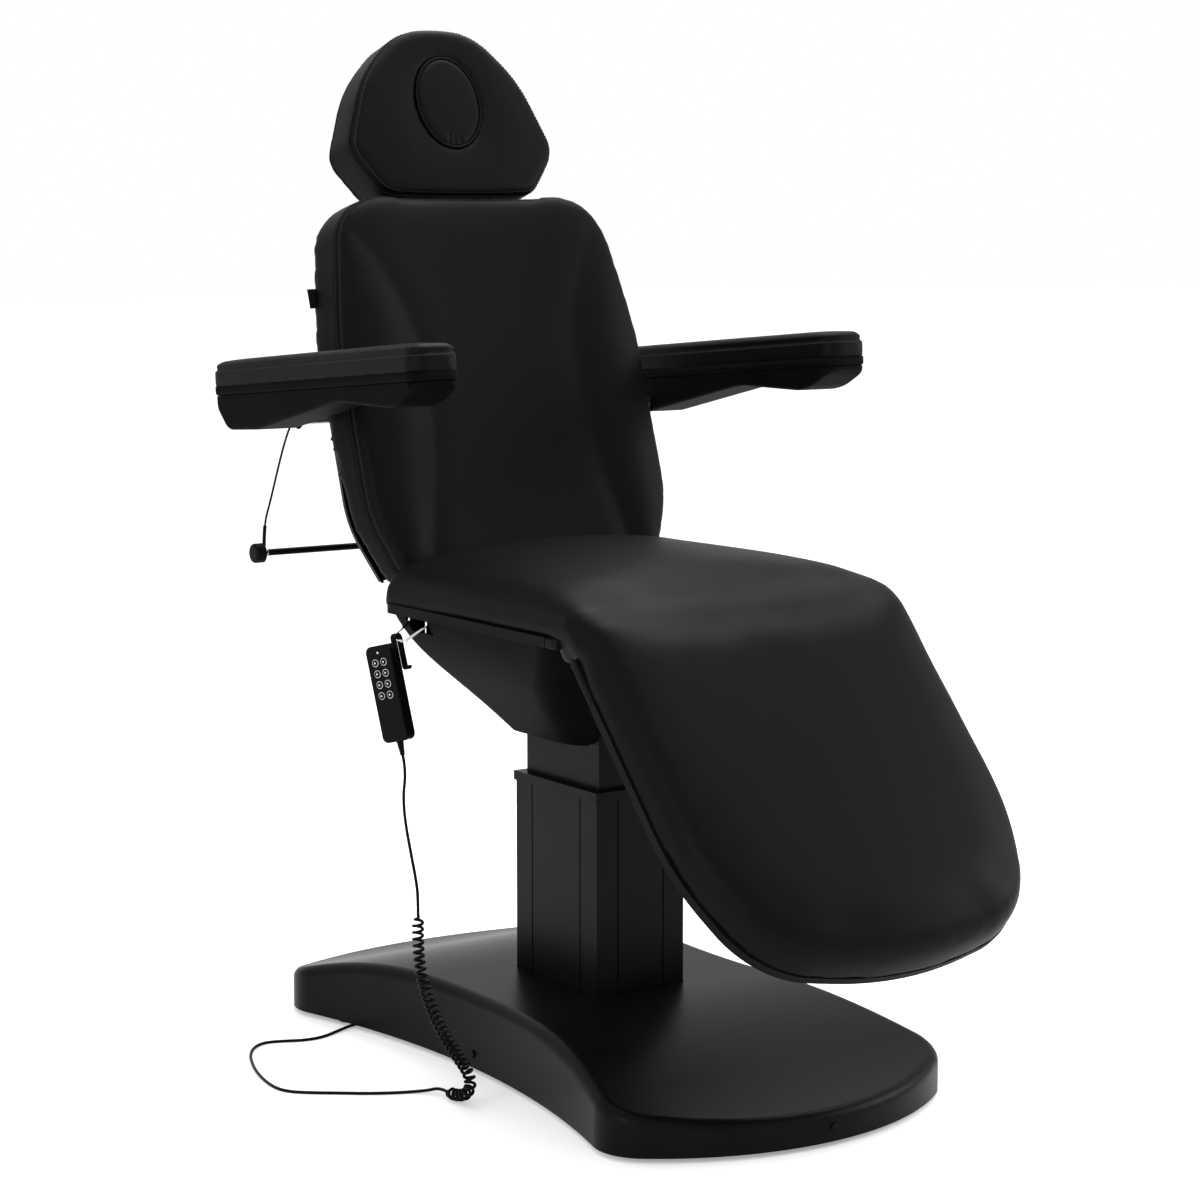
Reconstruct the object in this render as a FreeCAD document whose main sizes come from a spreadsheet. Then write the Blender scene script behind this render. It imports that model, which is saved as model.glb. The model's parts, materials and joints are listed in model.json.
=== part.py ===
import FreeCAD
import Part
import Sketcher
import math
import os
import re

# Electric treatment chair: a lifting column on a moulded base carries a tilting seat with a hinged
# back, leg rest, head rest and arm rests. Lengths are in millimetres and angles in degrees. The column
# stands at y = 0 of the working frame, the sitter faces -Y, and column_y moves all of it to the origin.
SIZES = {
    "column_y": 91.5,
    # base
    "base_half_length": 597,
    "base_end_half_width": 314,
    "base_end_bow": 127,
    "base_waist_half_width": 238,
    "base_corner_radius": 76,
    "base_wall": 5,
    "base_gap": 8,
    "base_ridge_height": 123,
    "base_shoulder_in": 307,
    "base_shoulder_radius": 1000,
    "base_ankle_in": 97,
    "base_ankle_height": 66,
    "base_ankle_radius": 1000,
    "base_end_height": 52,
    "base_edge_radius": 18,
    "beam_width": 90,
    "beam_height": 36,
    "beam_z": 14,
    "plate_thickness": 10,
    "plate_margin": 20,
    "foot_x": 245,
    "foot_y": 370,
    "foot_radius": 22,
    "cover_screw_z": 30,
    "screw_radius": 3,
    "screw_head_radius": 6,
    "screw_head_height": 3,
    "screw_length": 22,
    "screw_clearance": 0.3,
    "inlet_width": 44,
    "inlet_depth": 30,
    "inlet_height": 24,
    "inlet_x": 90,
    "inlet_fit": 0.2,
    # lifting column
    "column_width": 165,
    "column_depth": 228,
    "column_wall": 4,
    "column_top": 438,
    "column_hole_gap": 2,
    "groove_width": 3,
    "groove_depth": 1.5,
    "groove_front_x": 43,
    "groove_side_y": 68,
    "collar_height": 15,
    "collar_rim": 3,
    "collar_lip": 6,
    "inner_width": 140,
    "inner_depth": 203,
    "inner_wall": 4,
    "inner_bottom": 150,
    "inner_top": 545,
    "inner_gap": 1,
    "glide_height": 80,
    "glide_length": 60,
    "glide_gap": 0.2,
    "lift_motor_side": 86,
    "lift_motor_height": 90,
    "lift_tube_radius": 24,
    "lift_tube_top": 420,
    "lift_rod_radius": 15,
    "lift_rod_bottom": 205,
    "running_gap": 0.05,
    # tilt bracket and pivots
    "head_plate": 8,
    "tilt_y": 70,
    "tilt_z": 625,
    "pin_radius": 8,
    "cheek_thickness": 8,
    "cheek_x": 45,
    "cheek_gap": 0.5,
    "ear_radius": 18,
    # seat
    "seat_half_width": 300,
    "seat_front_y": -300,
    "seat_rear_y": 166,
    "board_thickness": 15,
    "board_z": 711,
    "rail_width": 30,
    "rail_height": 25,
    "rail_x": 150,
    "seat_top": 810,
    "seat_side_top": 786,
    "seat_bulge": 6,
    "seat_shoulder": 46,
    "knee_y": -341,
    "knee_z": 700,
    "knee_radius": 90,
    "knee_side": 77,
    "knee_shoulder": 30,
    "knee_wrap": 15,
    "knee_gap": 0.8,
    "belly_wall": 4,
    "belly_rim_inset": 8,
    "belly_bottom": 512,
    "belly_slot_rear": 24,
    "belly_slot_gap": 5,
    "hinge_x": 205,
    "seat_corner": 30,
    # motors that move seat, back and leg rest
    "motor_half": 22,
    "tilt_tube": 100,
    "tilt_ram": 50,
    "recline_tube": 195,
    "recline_ram": 145,
    "leg_motor_tube": 280,
    "leg_ram": 200,
    "motor_pin": 6,
    "motor_radius": 20,
    "motor_rod": 9,
    "motor_eye": 13,
    "fork_gap": 0.5,
    "fork_plate": 5,
    "tilt_open": 3,
    "recline_open": 11.5,
    "leg_open": 4,
    "tilt_motor_y": -75,
    "tilt_head_y": -215,
    "tilt_head_z": 660,
    "recline_motor_y": -60,
    "recline_motor_z": 640,
    "recline_x": 110,
    "leg_motor_y": 110,
    "leg_motor_z": 650,
    "leg_x": -110,
    # leg rest, drawn level and turned down about the knee axis
    "leg_angle": 47.9,
    "leg_half_width": 297,
    "leg_length": 590,
    "leg_side_share": 0.64,
    "leg_corner_share": 0.92,
    "leg_corner_width_share": 0.79,
    "leg_side_bend": 0.64,
    "leg_corner_bend": 0.505,
    "leg_end_bend": 2.02,
    "leg_seam": 24,
    "leg_board": 14,
    "leg_top": 90,
    "leg_side_top": 78,
    "leg_edge_radius": 30,
    "leg_shell_depth": 22,
    "leg_shell_inset": 14,
    "leg_tube": 20,
    "leg_frame_share": 0.82,
    "leg_lever_y": -26,
    "leg_lever_z": -46,
    # back, drawn upright on the recline axis and leant back about it
    "recline_y": 248,
    "recline_z": 742,
    "back_lean": -17.85,
    "back_half_width": 292,
    "back_foot_half_width": 240,
    "back_bottom": -22,
    "back_top": 631,
    "back_foot_bend": 40,
    "back_foot_rise": 120,
    "back_side_bend": 200,
    "back_waist_share": 0.60,
    "back_waist_bend": 400,
    "back_shoulder_share": 0.86,
    "back_corner_bend": 95,
    "back_foot_cut_share": 0.6,
    "back_front": -75,
    "back_crease": 12,
    "back_panel_half_width": 150,
    "back_rear": -7,
    "back_edge_radius": 12,
    "back_board": 12,
    "back_cover_rim": 18,
    "back_cover_wall": 4,
    "back_bulge": 40,
    "dome_rim_share": 0.995,
    "dome_edge_share": 0.93,
    "dome_top_share": 0.66,
    "back_tube": 25,
    "notch_gap": 2,
    "back_tube_x": 170,
    "back_board_inset": 3,
    "back_foot_round": 46,
    "bush_z": 500,
    "recline_lever_y": 49,
    "recline_lever_z": -57,
    # arm rests, drawn level on their pivot and turned up by their pitch
    "arm_pivot_y": 18,
    "arm_pivot_z": 281,
    "arm_pitch": -4.77,
    "arm_x": 379.5,
    "arm_width": 83,
    "arm_rear": 143,
    "arm_front": -506,
    "arm_seam": 56,
    "arm_pad_height": 40,
    "arm_pad_radius": 14,
    "arm_band": 15,
    "arm_band_step": 2,
    "arm_corner": 26,
    "arm_wall": 4,
    "arm_tail_share": 0.66,
    "arm_tail_drop": 14,
    "arm_tail_bend": 30,
    "arm_pivot_drop": 16,
    "arm_pivot_bend": 120,
    "arm_waist_share": 0.52,
    "arm_waist_rise": 20,
    "arm_waist_bend": 220,
    "arm_nose_share": 0.86,
    "arm_nose_rise": 4,
    "arm_nose_bend": 120,
    "arm_tip_share": 0.97,
    "arm_tip_drop": 12,
    "arm_tip_bend": 24,
    "axle_radius": 12,
    "axle_boss": 20,
    # head rest, in the back's frame
    "head_front": -50,
    "head_rear": 40,
    "head_bottom": 637,
    "head_top": 921,
    "head_half_width": 196,
    "head_foot_half_width": 140,
    "head_foot_bend": 45,
    "head_ear_height": 75,
    "head_ear_bend": 42,
    "head_temple_share": 0.745,
    "head_temple_drop": 83,
    "head_temple_bend": 220,
    "head_crown_share": 0.357,
    "head_crown_drop": 6,
    "head_crown_bend": 110,
    "head_top_bend": 230,
    "head_edge_radius": 14,
    "head_board": 10,
    "head_board_inset": 22,
    "post_x": 75,
    "post_y": 32,
    "post_radius": 7,
    "post_bottom": 430,
    "head_pivot_z": 688,
    "bush_wall": 4,
    "bush_length": 50,
    "plug_half_width": 60,
    "plug_half_height": 77,
    "plug_z": 790,
    "plug_gap": 0.5,
    "plug_crown": 6,
    # handset, drawn upright on its middle and turned to hang
    "handset_out": 39,
    "handset_y": 70,
    "handset_z": 599,
    "handset_yaw": -67,
    "handset_lean": -13.4,
    "handset_width": 48,
    "handset_length": 150,
    "handset_depth": 24,
    "handset_corner": 10,
    "handset_edge": 3,
    "button_radius": 4.5,
    "button_height": 3,
    "button_proud": 1.2,
    "button_gap": 0.3,
    "button_travel": 0.8,
    "button_pitch_x": 16,
    "button_pitch_z": 17,
    "button_top_z": 49,
    "boot_radius": 5.5,
    "boot_tip_radius": 3.5,
    "boot_length": 22,
    "hanger_radius": 2,
    "hanger_in": 14,
    "hanger_out": 22,
    "hanger_y": 74.5,
    "hanger_span": 52,
    "hanger_bar": 35,
    "hanger_z": 680,
    "hanger_bend": 5,
    "hook_width": 10,
    "hook_thickness": 2,
    "hook_x": 16,
    "hook_foot_z": 40,
    "hook_arch_z": 79.5,
    "hook_arch": 6.7,
    "hook_tail_z": 36,
    "hook_curl": 4,
    # handset cord and its gland on the base frame
    "cord_boot_run": 25,
    "cord_curl_run": 28,
    "cord_floor_run": 18,
    "bar_cord_top_run": 16,
    "bar_cord_foot_run": 39,
    "cord_radius": 2.5,
    "curl_radius": 7.25,
    "curl_turns": 36,
    "gland_x": -230,
    "gland_y": 326,
    "gland_z": 6,
    "gland_length": 25,
    "gland_width": 30,
    "gland_height": 23,
    # paper roll bar
    "bar_radius": 5.5,
    "bar_half_length": 346,
    "bar_y": 468,
    "bar_z": 777,
    "knob_radius": 16,
    "knob_length": 18,
    "bar_cord_radius": 1.75,
    "bar_cord_x": 330,
}

doc = FreeCAD.newDocument("treatment_chair")
sheet = doc.addObject("Spreadsheet::Sheet", "Size")
for row, (alias, number) in enumerate(SIZES.items(), start=1):
    sheet.set(f"A{row}", alias)
    sheet.set(f"B{row}", str(number))
    sheet.setAlias(f"B{row}", alias)
doc.recompute()


class SheetValues:
    """Reads a size back from the sheet by its alias."""

    def __getattr__(self, alias):
        return float(sheet.get(alias))


S = SheetValues()
V = FreeCAD.Vector
WORD = re.compile(r"[a-z_][a-z_0-9]*")
PARTS = []

# Each group of pieces is drawn in a frame of its own: where the frame's origin lies and how far the
# group is turned about X at rest.
COLUMN = ("column_y", "0", "0")
LEG = ("knee_y + column_y", "knee_z", "leg_angle")
BACK = ("recline_y + column_y", "recline_z", "back_lean")


def bind(obj, prop, text):
    """Ties a property to an expression written in the sheet's aliases."""
    obj.setExpression(prop, WORD.sub(lambda w: "Size." + w.group() if w.group() in SIZES else w.group(), str(text)))


def place(obj, x, y, z):
    for axis, text in zip("xyz", (x, y, z)):
        bind(obj, f"Placement.Base.{axis}", text)
    return obj


def box(x, y, z, at):
    """A box of these sides, centred on `at` in X and Y and standing on its height."""
    obj = doc.addObject("Part::Box", "box")
    for prop, text in zip(("Length", "Width", "Height"), (x, y, z)):
        bind(obj, prop, text)
    return place(obj, f"{at[0]} - ({x}) / 2", f"{at[1]} - ({y}) / 2", at[2])


def rod(radius, length, at, axis="z"):
    """A round rod that starts at `at` and runs along an axis."""
    obj = doc.addObject("Part::Cylinder", "rod")
    direction = {"x": V(1, 0, 0), "y": V(0, 1, 0), "z": V(0, 0, 1)}[axis]
    obj.Placement = FreeCAD.Placement(V(), FreeCAD.Rotation(V(0, 0, 1), direction))
    bind(obj, "Radius", radius)
    bind(obj, "Height", length)
    return place(obj, *at)


def fuse(*shapes):
    obj = doc.addObject("Part::MultiFuse", "fuse")
    obj.Shapes = list(shapes)
    return obj


def cut(base, *tools):
    obj = doc.addObject("Part::Cut", "cut")
    obj.Base = base
    obj.Tool = tools[0] if len(tools) == 1 else fuse(*tools)
    return obj


def group(*shapes):
    obj = doc.addObject("Part::Compound", "group")
    obj.Links = list(shapes)
    return obj


def solid(shape):
    """A piece whose form is worked out from the sheet's sizes in code."""
    obj = doc.addObject("Part::Feature", "form")
    obj.Shape = shape
    return obj


def publish(obj, label, frame=COLUMN):
    """Names a finished piece and puts its group's frame in its Placement."""
    if obj.TypeId in ("Part::Box", "Part::Cylinder"):
        obj = group(obj)
    obj.Label = label
    obj.Placement = FreeCAD.Placement(V(), FreeCAD.Rotation(V(1, 0, 0), 1))
    bind(obj, "Placement.Base.y", frame[0])
    bind(obj, "Placement.Base.z", frame[1])
    bind(obj, "Placement.Rotation.Angle", frame[2])
    PARTS.append(obj)
    return obj


def tube(label, outer, inner, bottom, top):
    """A body padded from two centred rectangles, one in the other."""
    body = doc.addObject("PartDesign::Body", label)
    sketch = body.newObject("Sketcher::SketchObject", label + "_section")
    plane = [f for f in body.Origin.OriginFeatures if f.Role == "XY_Plane"][0]
    sketch.AttachmentSupport = [(plane, "")]
    sketch.MapMode = "FlatFace"
    bind(sketch, "AttachmentOffset.Base.z", bottom)
    for name, (width, depth) in (("outer", outer), ("inner", inner)):
        first = sketch.GeometryCount
        reach = 100 if name == "outer" else 50
        corners = [V(-reach, -reach), V(reach, -reach), V(reach, reach), V(-reach, reach)]
        for i in range(4):
            sketch.addGeometry(Part.LineSegment(corners[i], corners[(i + 1) % 4]))
        rules = [Sketcher.Constraint("Coincident", first + i, 2, first + (i + 1) % 4, 1) for i in range(4)]
        rules += [Sketcher.Constraint("Horizontal", first + i) for i in (0, 2)]
        rules += [Sketcher.Constraint("Vertical", first + i) for i in (1, 3)]
        rules.append(Sketcher.Constraint("Symmetric", first, 1, first + 1, 2, -1, 1))
        sketch.addConstraint(rules)
        for side, text, kind in ((first, width, "DistanceX"), (first + 1, depth, "DistanceY")):
            index = sketch.addConstraint(Sketcher.Constraint(kind, side, 1, side, 2, 2 * reach))
            sketch.renameConstraint(index, f"{name}_{kind}")
            bind(sketch, f"Constraints.{name}_{kind}", text)
    pad = body.newObject("PartDesign::Pad", label + "_pad")
    pad.Profile = sketch
    bind(pad, "Length", f"{top} - ({bottom})")
    return body


def on_plane(plane, u, v):
    """A point of a drawing plane: its two letters say which axes u and v run along."""
    axes = {"x": V(1, 0, 0), "y": V(0, 1, 0), "z": V(0, 0, 1)}
    return axes[plane[0]] * u + axes[plane[1]] * v


def outline(plane, corners):
    """A closed wire of straight sides whose corners (u, v, radius) are rounded by tangent arcs."""
    spots = [on_plane(plane, u, v) for u, v, radius in corners]
    joins = []
    for i, (u, v, radius) in enumerate(corners):
        back = (spots[i - 1] - spots[i]).normalize()
        ahead = (spots[(i + 1) % len(spots)] - spots[i]).normalize()
        half = back.getAngle(ahead) / 2
        reach = radius / math.tan(half)
        middle = (back + ahead).normalize() * (radius / math.sin(half) - radius) if radius else V()
        joins.append((spots[i] + back * reach, spots[i] + middle, spots[i] + ahead * reach))
    edges = []
    for i, (start, middle, end) in enumerate(joins):
        if corners[i][2]:
            edges.append(Part.Arc(start, middle, end).toShape())
        following = joins[(i + 1) % len(joins)][0]
        if end.distanceToPoint(following) > 1e-6:
            edges.append(Part.LineSegment(end, following).toShape())
    return Part.Wire(edges)


def mirrored(half):
    """A whole outline from the corners of its right half, listed from one end to the other."""
    return half + [(-u, v, radius) for u, v, radius in reversed(half) if u]


def prism(plane, corners, start, depth):
    """An outline pushed out square to its plane, from `start` over `depth`."""
    normal = {"xy": V(0, 0, 1), "yz": V(1, 0, 0), "xz": V(0, 1, 0)}[plane]
    face = Part.Face(outline(plane, corners))
    face.translate(normal * start)
    return face.extrude(normal * depth)


def edges_where(shape, test):
    """The edges whose middle point passes a test."""
    chosen = []
    for edge in shape.Edges:
        middle = edge.valueAt((edge.FirstParameter + edge.LastParameter) / 2)
        if test(edge, middle):
            chosen.append(edge)
    return chosen


def tangent_arc(start, heading, end):
    """The arc that leaves `start` along `heading` and reaches `end`."""
    chord = end - start
    across = heading - chord * (heading.dot(chord) / chord.dot(chord))
    turn = heading.getAngle(chord)
    middle = (start + end) * 0.5 + across.normalize() * (chord.Length / 2 * math.tan(turn / 2))
    return Part.Arc(start, middle, end).toShape()


def base_block(inset):
    """The base's outer form, or its hollow when drawn in by the wall."""
    end = S.base_half_length - inset
    side = S.base_end_half_width - inset
    waist = S.base_waist_half_width - inset
    corner = S.base_half_length - S.base_end_bow
    bends = [
        (V(-side, -corner), V(0, -end), V(side, -corner)),
        (V(side, -corner), V(waist, 0), V(side, corner)),
        (V(side, corner), V(0, end), V(-side, corner)),
        (V(-side, corner), V(-waist, 0), V(-side, -corner)),
    ]
    plan = Part.Wire([Part.Arc(*bend).toShape() for bend in bends])
    block = Part.Face(plan).extrude(V(0, 0, 2 * S.base_ridge_height))
    upright = edges_where(block, lambda e, m: e.tangentAt(e.FirstParameter).z ** 2 > 0.5)
    block = block.makeFillet(S.base_corner_radius - inset, upright)
    fall = (S.base_ankle_height - S.base_end_height) / S.base_ankle_in
    tip = S.base_half_length + S.base_wall
    half = [
        (tip, S.base_gap if inset == 0 else -S.base_gap, 0),
        (tip, S.base_end_height - fall * S.base_wall - inset, 0),
        (S.base_half_length - S.base_ankle_in, S.base_ankle_height - inset, S.base_ankle_radius),
        (S.base_half_length - S.base_shoulder_in, S.base_ridge_height - inset, S.base_shoulder_radius),
    ]
    block = block.common(prism("yz", mirrored(half), -tip, 2 * tip))
    rim = edges_where(block, lambda e, m: e.Curve.TypeId != "Part::GeomLine" and m.z > S.base_end_height / 2)
    return block.makeFillet(S.base_edge_radius - inset, rim)


def screw(at, axis, outwards):
    """A raised-head screw: its head outside the wall at `at`, its shank running inwards."""
    if outwards > 0:
        head = rod("screw_head_radius", "screw_head_height", at, axis)
        start = shifted(at, axis, "-screw_length")
    else:
        head = rod("screw_head_radius", "screw_head_height", shifted(at, axis, "-screw_head_height"), axis)
        start = at
    return fuse(head, rod("screw_radius", "screw_length", start, axis))


def shifted(at, axis, step):
    """A place moved along one axis."""
    return tuple(f"{text} + ({step})" if letter == axis else text for letter, text in zip("xyz", at))


# Base: moulded cover over a steel frame on rubber feet
WALL_SCREWS = [
    (("0", "-base_half_length", "cover_screw_z"), "y", -1),
    (("0", "base_half_length", "cover_screw_z"), "y", 1),
    (("-base_waist_half_width", "0", "cover_screw_z"), "x", -1),
    (("base_waist_half_width", "0", "cover_screw_z"), "x", 1),
]


def wall_holes(radius):
    """A hole for each cover screw, as long as its shank on both sides of the wall."""
    return [rod(radius, "2 * screw_length", shifted(at, axis, "-screw_length"), axis) for at, axis, way in WALL_SCREWS]


inlet_place = ("inlet_x", "base_half_length - inlet_depth", "base_gap + base_wall")
cover_form = solid(base_block(0).cut(base_block(S.base_wall)))
column_hole = box("column_width + 2 * column_hole_gap", "column_depth + 2 * column_hole_gap",
                  "2 * base_ridge_height", ("0", "0", "base_gap + base_wall"))
inlet_hole = box("inlet_width + 2 * inlet_fit", "2 * inlet_depth", "inlet_height + 2 * inlet_fit",
                 shifted(inlet_place, "z", "-inlet_fit"))
publish(cut(cover_form, column_hole, inlet_hole, *wall_holes("screw_radius + screw_clearance")), "base_cover")
publish(box("inlet_width", "inlet_depth", "inlet_height", inlet_place), "mains_inlet")

beam_ends = "2 * (base_half_length - 5 * base_wall - screw_radius)"
beam_sides = "2 * (base_waist_half_width - base_wall - screw_radius)"
beams = [
    box("beam_width", beam_ends, "beam_height", ("0", "0", "beam_z")),
    box(beam_sides, "beam_width", "beam_height", ("0", "0", "beam_z")),
    box("column_width + 2 * plate_margin", "column_depth + 2 * plate_margin", "plate_thickness",
        ("0", "0", "beam_z + beam_height")),
]
for side in (-1, 1):
    beams.append(box("2 * (foot_x + foot_radius)", "2 * foot_radius", "beam_height", ("0", f"{side} * foot_y", "beam_z")))
publish(cut(fuse(*beams), *wall_holes("screw_radius")), "base_frame")
feet = [rod("foot_radius", "beam_z", (f"{i} * foot_x", f"{j} * foot_y", "0")) for i in (-1, 1) for j in (-1, 1)]
publish(group(*feet), "base_feet")
publish(group(*[screw(*place_and_way) for place_and_way in WALL_SCREWS]), "cover_screws")

# Lifting column: outer tube on the frame's plate, collar, glides, inner tube
plate_top = "(beam_z + beam_height + plate_thickness)"
outer_tube = tube("outer_tube", ("column_width", "column_depth"),
                  ("column_width - 2 * column_wall", "column_depth - 2 * column_wall"), plate_top, "column_top")
grooves = []
for side in (-1, 1):
    for way in (-1, 1):
        grooves.append(box("groove_width", "2 * groove_depth", "column_top",
                           (f"{way} * groove_front_x", f"{side} * column_depth / 2", plate_top)))
        grooves.append(box("2 * groove_depth", "groove_width", "column_top",
                           (f"{side} * column_width / 2", f"{way} * groove_side_y", plate_top)))
publish(cut(outer_tube, *grooves), "column_outer")
collar_bottom = "column_top + collar_lip - collar_height"
collar_outside = ("column_width + 2 * collar_rim", "column_depth + 2 * collar_rim")
collar_skirt = tube("collar_skirt", collar_outside, ("column_width", "column_depth"), collar_bottom, "column_top")
collar_cap = tube("collar_cap", collar_outside, ("inner_width + 2 * inner_gap", "inner_depth + 2 * inner_gap"),
                  "column_top", "column_top + collar_lip")
publish(fuse(collar_skirt, collar_cap), "column_collar")
glide_x = "(column_width / 2 - column_wall - inner_width / 2 - glide_gap)"
glide_y = "(column_depth / 2 - column_wall - inner_depth / 2 - glide_gap)"
glides = []
for side in (-1, 1):
    glides.append(box(glide_x, "glide_length", "glide_height",
                      (f"{side} * (column_width / 2 - column_wall - {glide_x} / 2)", "0", "column_top - glide_height")))
    glides.append(box("glide_length", glide_y, "glide_height",
                      ("0", f"{side} * (column_depth / 2 - column_wall - {glide_y} / 2)", "column_top - glide_height")))
publish(group(*glides), "column_glides")
publish(tube("inner_tube", ("inner_width", "inner_depth"),
             ("inner_width - 2 * inner_wall", "inner_depth - 2 * inner_wall"), "inner_bottom", "inner_top"),
        "column_inner")

motor_block = box("lift_motor_side", "lift_motor_side", "lift_motor_height", ("0", "0", plate_top))
motor_tube = rod("lift_tube_radius", f"lift_tube_top - {plate_top}", ("0", "0", plate_top))
motor_bore = rod("lift_rod_radius + running_gap", "lift_tube_top", ("0", "0", f"{plate_top} + lift_motor_height"))
publish(cut(fuse(motor_block, motor_tube), motor_bore), "lift_motor")
publish(rod("lift_rod_radius", "inner_top - lift_rod_bottom", ("0", "0", "lift_rod_bottom")), "lift_spindle")


# Tilt bracket on the column: head plate, two cheeks with the tilt bore, ears of the tilt motor
def ear(x, thickness, pivot, foot, radius=S.ear_radius):
    """A flat link: a round eye at `pivot` and a bar to `foot`, both (y, z), between x and x + thickness."""
    (py, pz), (fy, fz) = pivot, foot
    along = V(0, fy - py, fz - pz)
    length = along.Length
    side = along.cross(V(1, 0, 0)).normalize() * radius
    p, f = V(x, py, pz), V(x, fy, fz)
    bar = Part.Face(Part.makePolygon([p + side, f + side, f - side, p - side, p + side]))
    eye = Part.makeCylinder(radius, thickness, p, V(1, 0, 0))
    return eye.fuse(bar.extrude(V(thickness, 0, 0))) if length > 1 else eye


def bores(spots, radius):
    """Round holes right across the chair at pivots (y, z)."""
    reach = 2 * S.base_end_half_width
    holes = [Part.makeCylinder(radius, 2 * reach, V(-reach, y, z), V(1, 0, 0)) for y, z in spots]
    return holes[0].multiFuse(holes[1:]) if len(holes) > 1 else holes[0]


def beside(x, thickness, way):
    """The lower X of a plate of this thickness that starts at x on one side of the middle."""
    return x if way > 0 else -x - thickness


tilt = (S.tilt_y, S.tilt_z)
plate_z = S.inner_top + S.head_plate
motor_foot = (S.tilt_motor_y, plate_z + S.ear_radius)
bracket = Part.makeBox(S.inner_width, S.inner_depth, S.head_plate, V(-S.inner_width / 2, -S.inner_depth / 2, S.inner_top))
for way in (-1, 1):
    cheek = beside(S.cheek_x, S.cheek_thickness, way)
    bracket = bracket.fuse(ear(cheek, S.cheek_thickness, tilt, (S.tilt_y, plate_z)))
    lug = beside(S.motor_half + S.cheek_gap, S.cheek_thickness, way)
    bracket = bracket.fuse(ear(lug, S.cheek_thickness, motor_foot, (S.tilt_motor_y, plate_z)))
bracket = bracket.cut(bores([tilt], S.pin_radius + S.running_gap))
bracket = bracket.cut(bores([motor_foot], S.motor_pin))
publish(solid(bracket), "tilt_bracket")


# Seat: board, steel frame, belly cover, cushion
knee = (S.knee_y, S.knee_z)
recline = (S.recline_y, S.recline_z)
rail_z = S.board_z - S.rail_height
recline_foot = (S.recline_motor_y, S.recline_motor_z)
leg_foot = (S.leg_motor_y, S.leg_motor_z)
tilt_head = (S.tilt_head_y, S.tilt_head_z)
board = prism("xy", mirrored([(S.seat_half_width, S.seat_front_y, 0), (S.seat_half_width, S.seat_rear_y, S.seat_corner)]),
              S.board_z, S.board_thickness)
publish(solid(board), "seat_board")

rail_start = 0.95 * (S.seat_front_y + S.belly_rim_inset) + 2 * S.belly_wall
rail_end = S.seat_rear_y - S.belly_rim_inset - S.belly_wall
hang_z = S.board_z - S.ear_radius
frame = []
for way in (-1, 1):
    hinge = beside(S.hinge_x, S.cheek_thickness, way)
    tilt_cheek = beside(S.cheek_x + S.cheek_thickness + S.cheek_gap, S.cheek_thickness, way)
    frame.append(Part.makeBox(S.rail_width, rail_end - rail_start, S.rail_height,
                              V(beside(S.rail_x, S.rail_width, way), rail_start, rail_z)))
    frame.append(ear(tilt_cheek, S.cheek_thickness, tilt, (S.tilt_y, hang_z)))
    frame.append(ear(hinge, S.cheek_thickness, knee, (rail_start + S.rail_width, rail_z - S.cheek_thickness)))
    frame.append(ear(hinge, S.cheek_thickness, recline, (S.recline_y, rail_z)))
    frame.append(Part.makeBox(S.cheek_thickness, S.recline_y + S.ear_radius - rail_end + S.rail_width, S.rail_height,
                              V(hinge, rail_end - S.rail_width, rail_z)))
cross_bars = [rail_start, rail_end - S.rail_width]
cross_bars += [y - S.rail_width / 2 for y in (S.tilt_y, S.recline_motor_y, S.leg_motor_y, S.tilt_head_y)]
for y in cross_bars:
    frame.append(Part.makeBox(2 * (S.hinge_x + S.cheek_thickness), S.rail_width, S.rail_height,
                              V(-S.hinge_x - S.cheek_thickness, y, rail_z)))
for spot, x in ((recline_foot, S.recline_x), (leg_foot, S.leg_x), (tilt_head, 0)):
    for way in (-1, 1):
        lug = x + beside(S.motor_half + S.cheek_gap, S.cheek_thickness, way)
        frame.append(ear(lug, S.cheek_thickness, spot, (spot[0], hang_z)))
frame_shape = frame[0].multiFuse(frame[1:])
frame_shape = frame_shape.cut(bores([tilt, knee, recline, recline_foot, leg_foot, tilt_head], S.pin_radius))
# the rear cross bars are left open where the recline motor's rod rises through them
rod_room = 2 * S.motor_half
bar_edge = S.leg_motor_y - S.rail_width / 2
frame_shape = frame_shape.cut(Part.makeBox(rod_room, rail_end - bar_edge, S.rail_height,
                                           V(S.recline_x - rod_room / 2, bar_edge, rail_z)))
publish(solid(frame_shape), "seat_frame")


def belly_ring(level, inset):
    """One level of the belly cover: (height, half width, front y, rear y, corner radius)."""
    z, half, front, rear, corner = level
    ring = outline("xy", mirrored([(half - inset, front + inset, corner), (half - inset, rear - inset, corner)]))
    ring.translate(V(0, 0, z))
    return ring


def belly_form(inset):
    top = S.seat_half_width - S.belly_rim_inset
    front = S.seat_front_y + S.belly_rim_inset
    rear = S.seat_rear_y - S.belly_rim_inset
    depth = S.board_z - S.belly_bottom
    levels = [
        (S.board_z, top, front, rear, 30),
        (S.board_z - 0.13 * depth, 0.95 * top, 0.95 * front, rear, 36),
        (S.board_z - 0.50 * depth, 0.72 * top, 0.66 * front, 0.99 * rear, 60),
        (S.board_z - 0.80 * depth, 0.48 * top, 0.44 * front, 0.95 * rear, 60),
        (S.belly_bottom + inset, 0.33 * top, 0.30 * front, 0.88 * rear, 50),
    ]
    return Part.makeLoft([belly_ring(level, inset) for level in levels], True, False)


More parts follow.
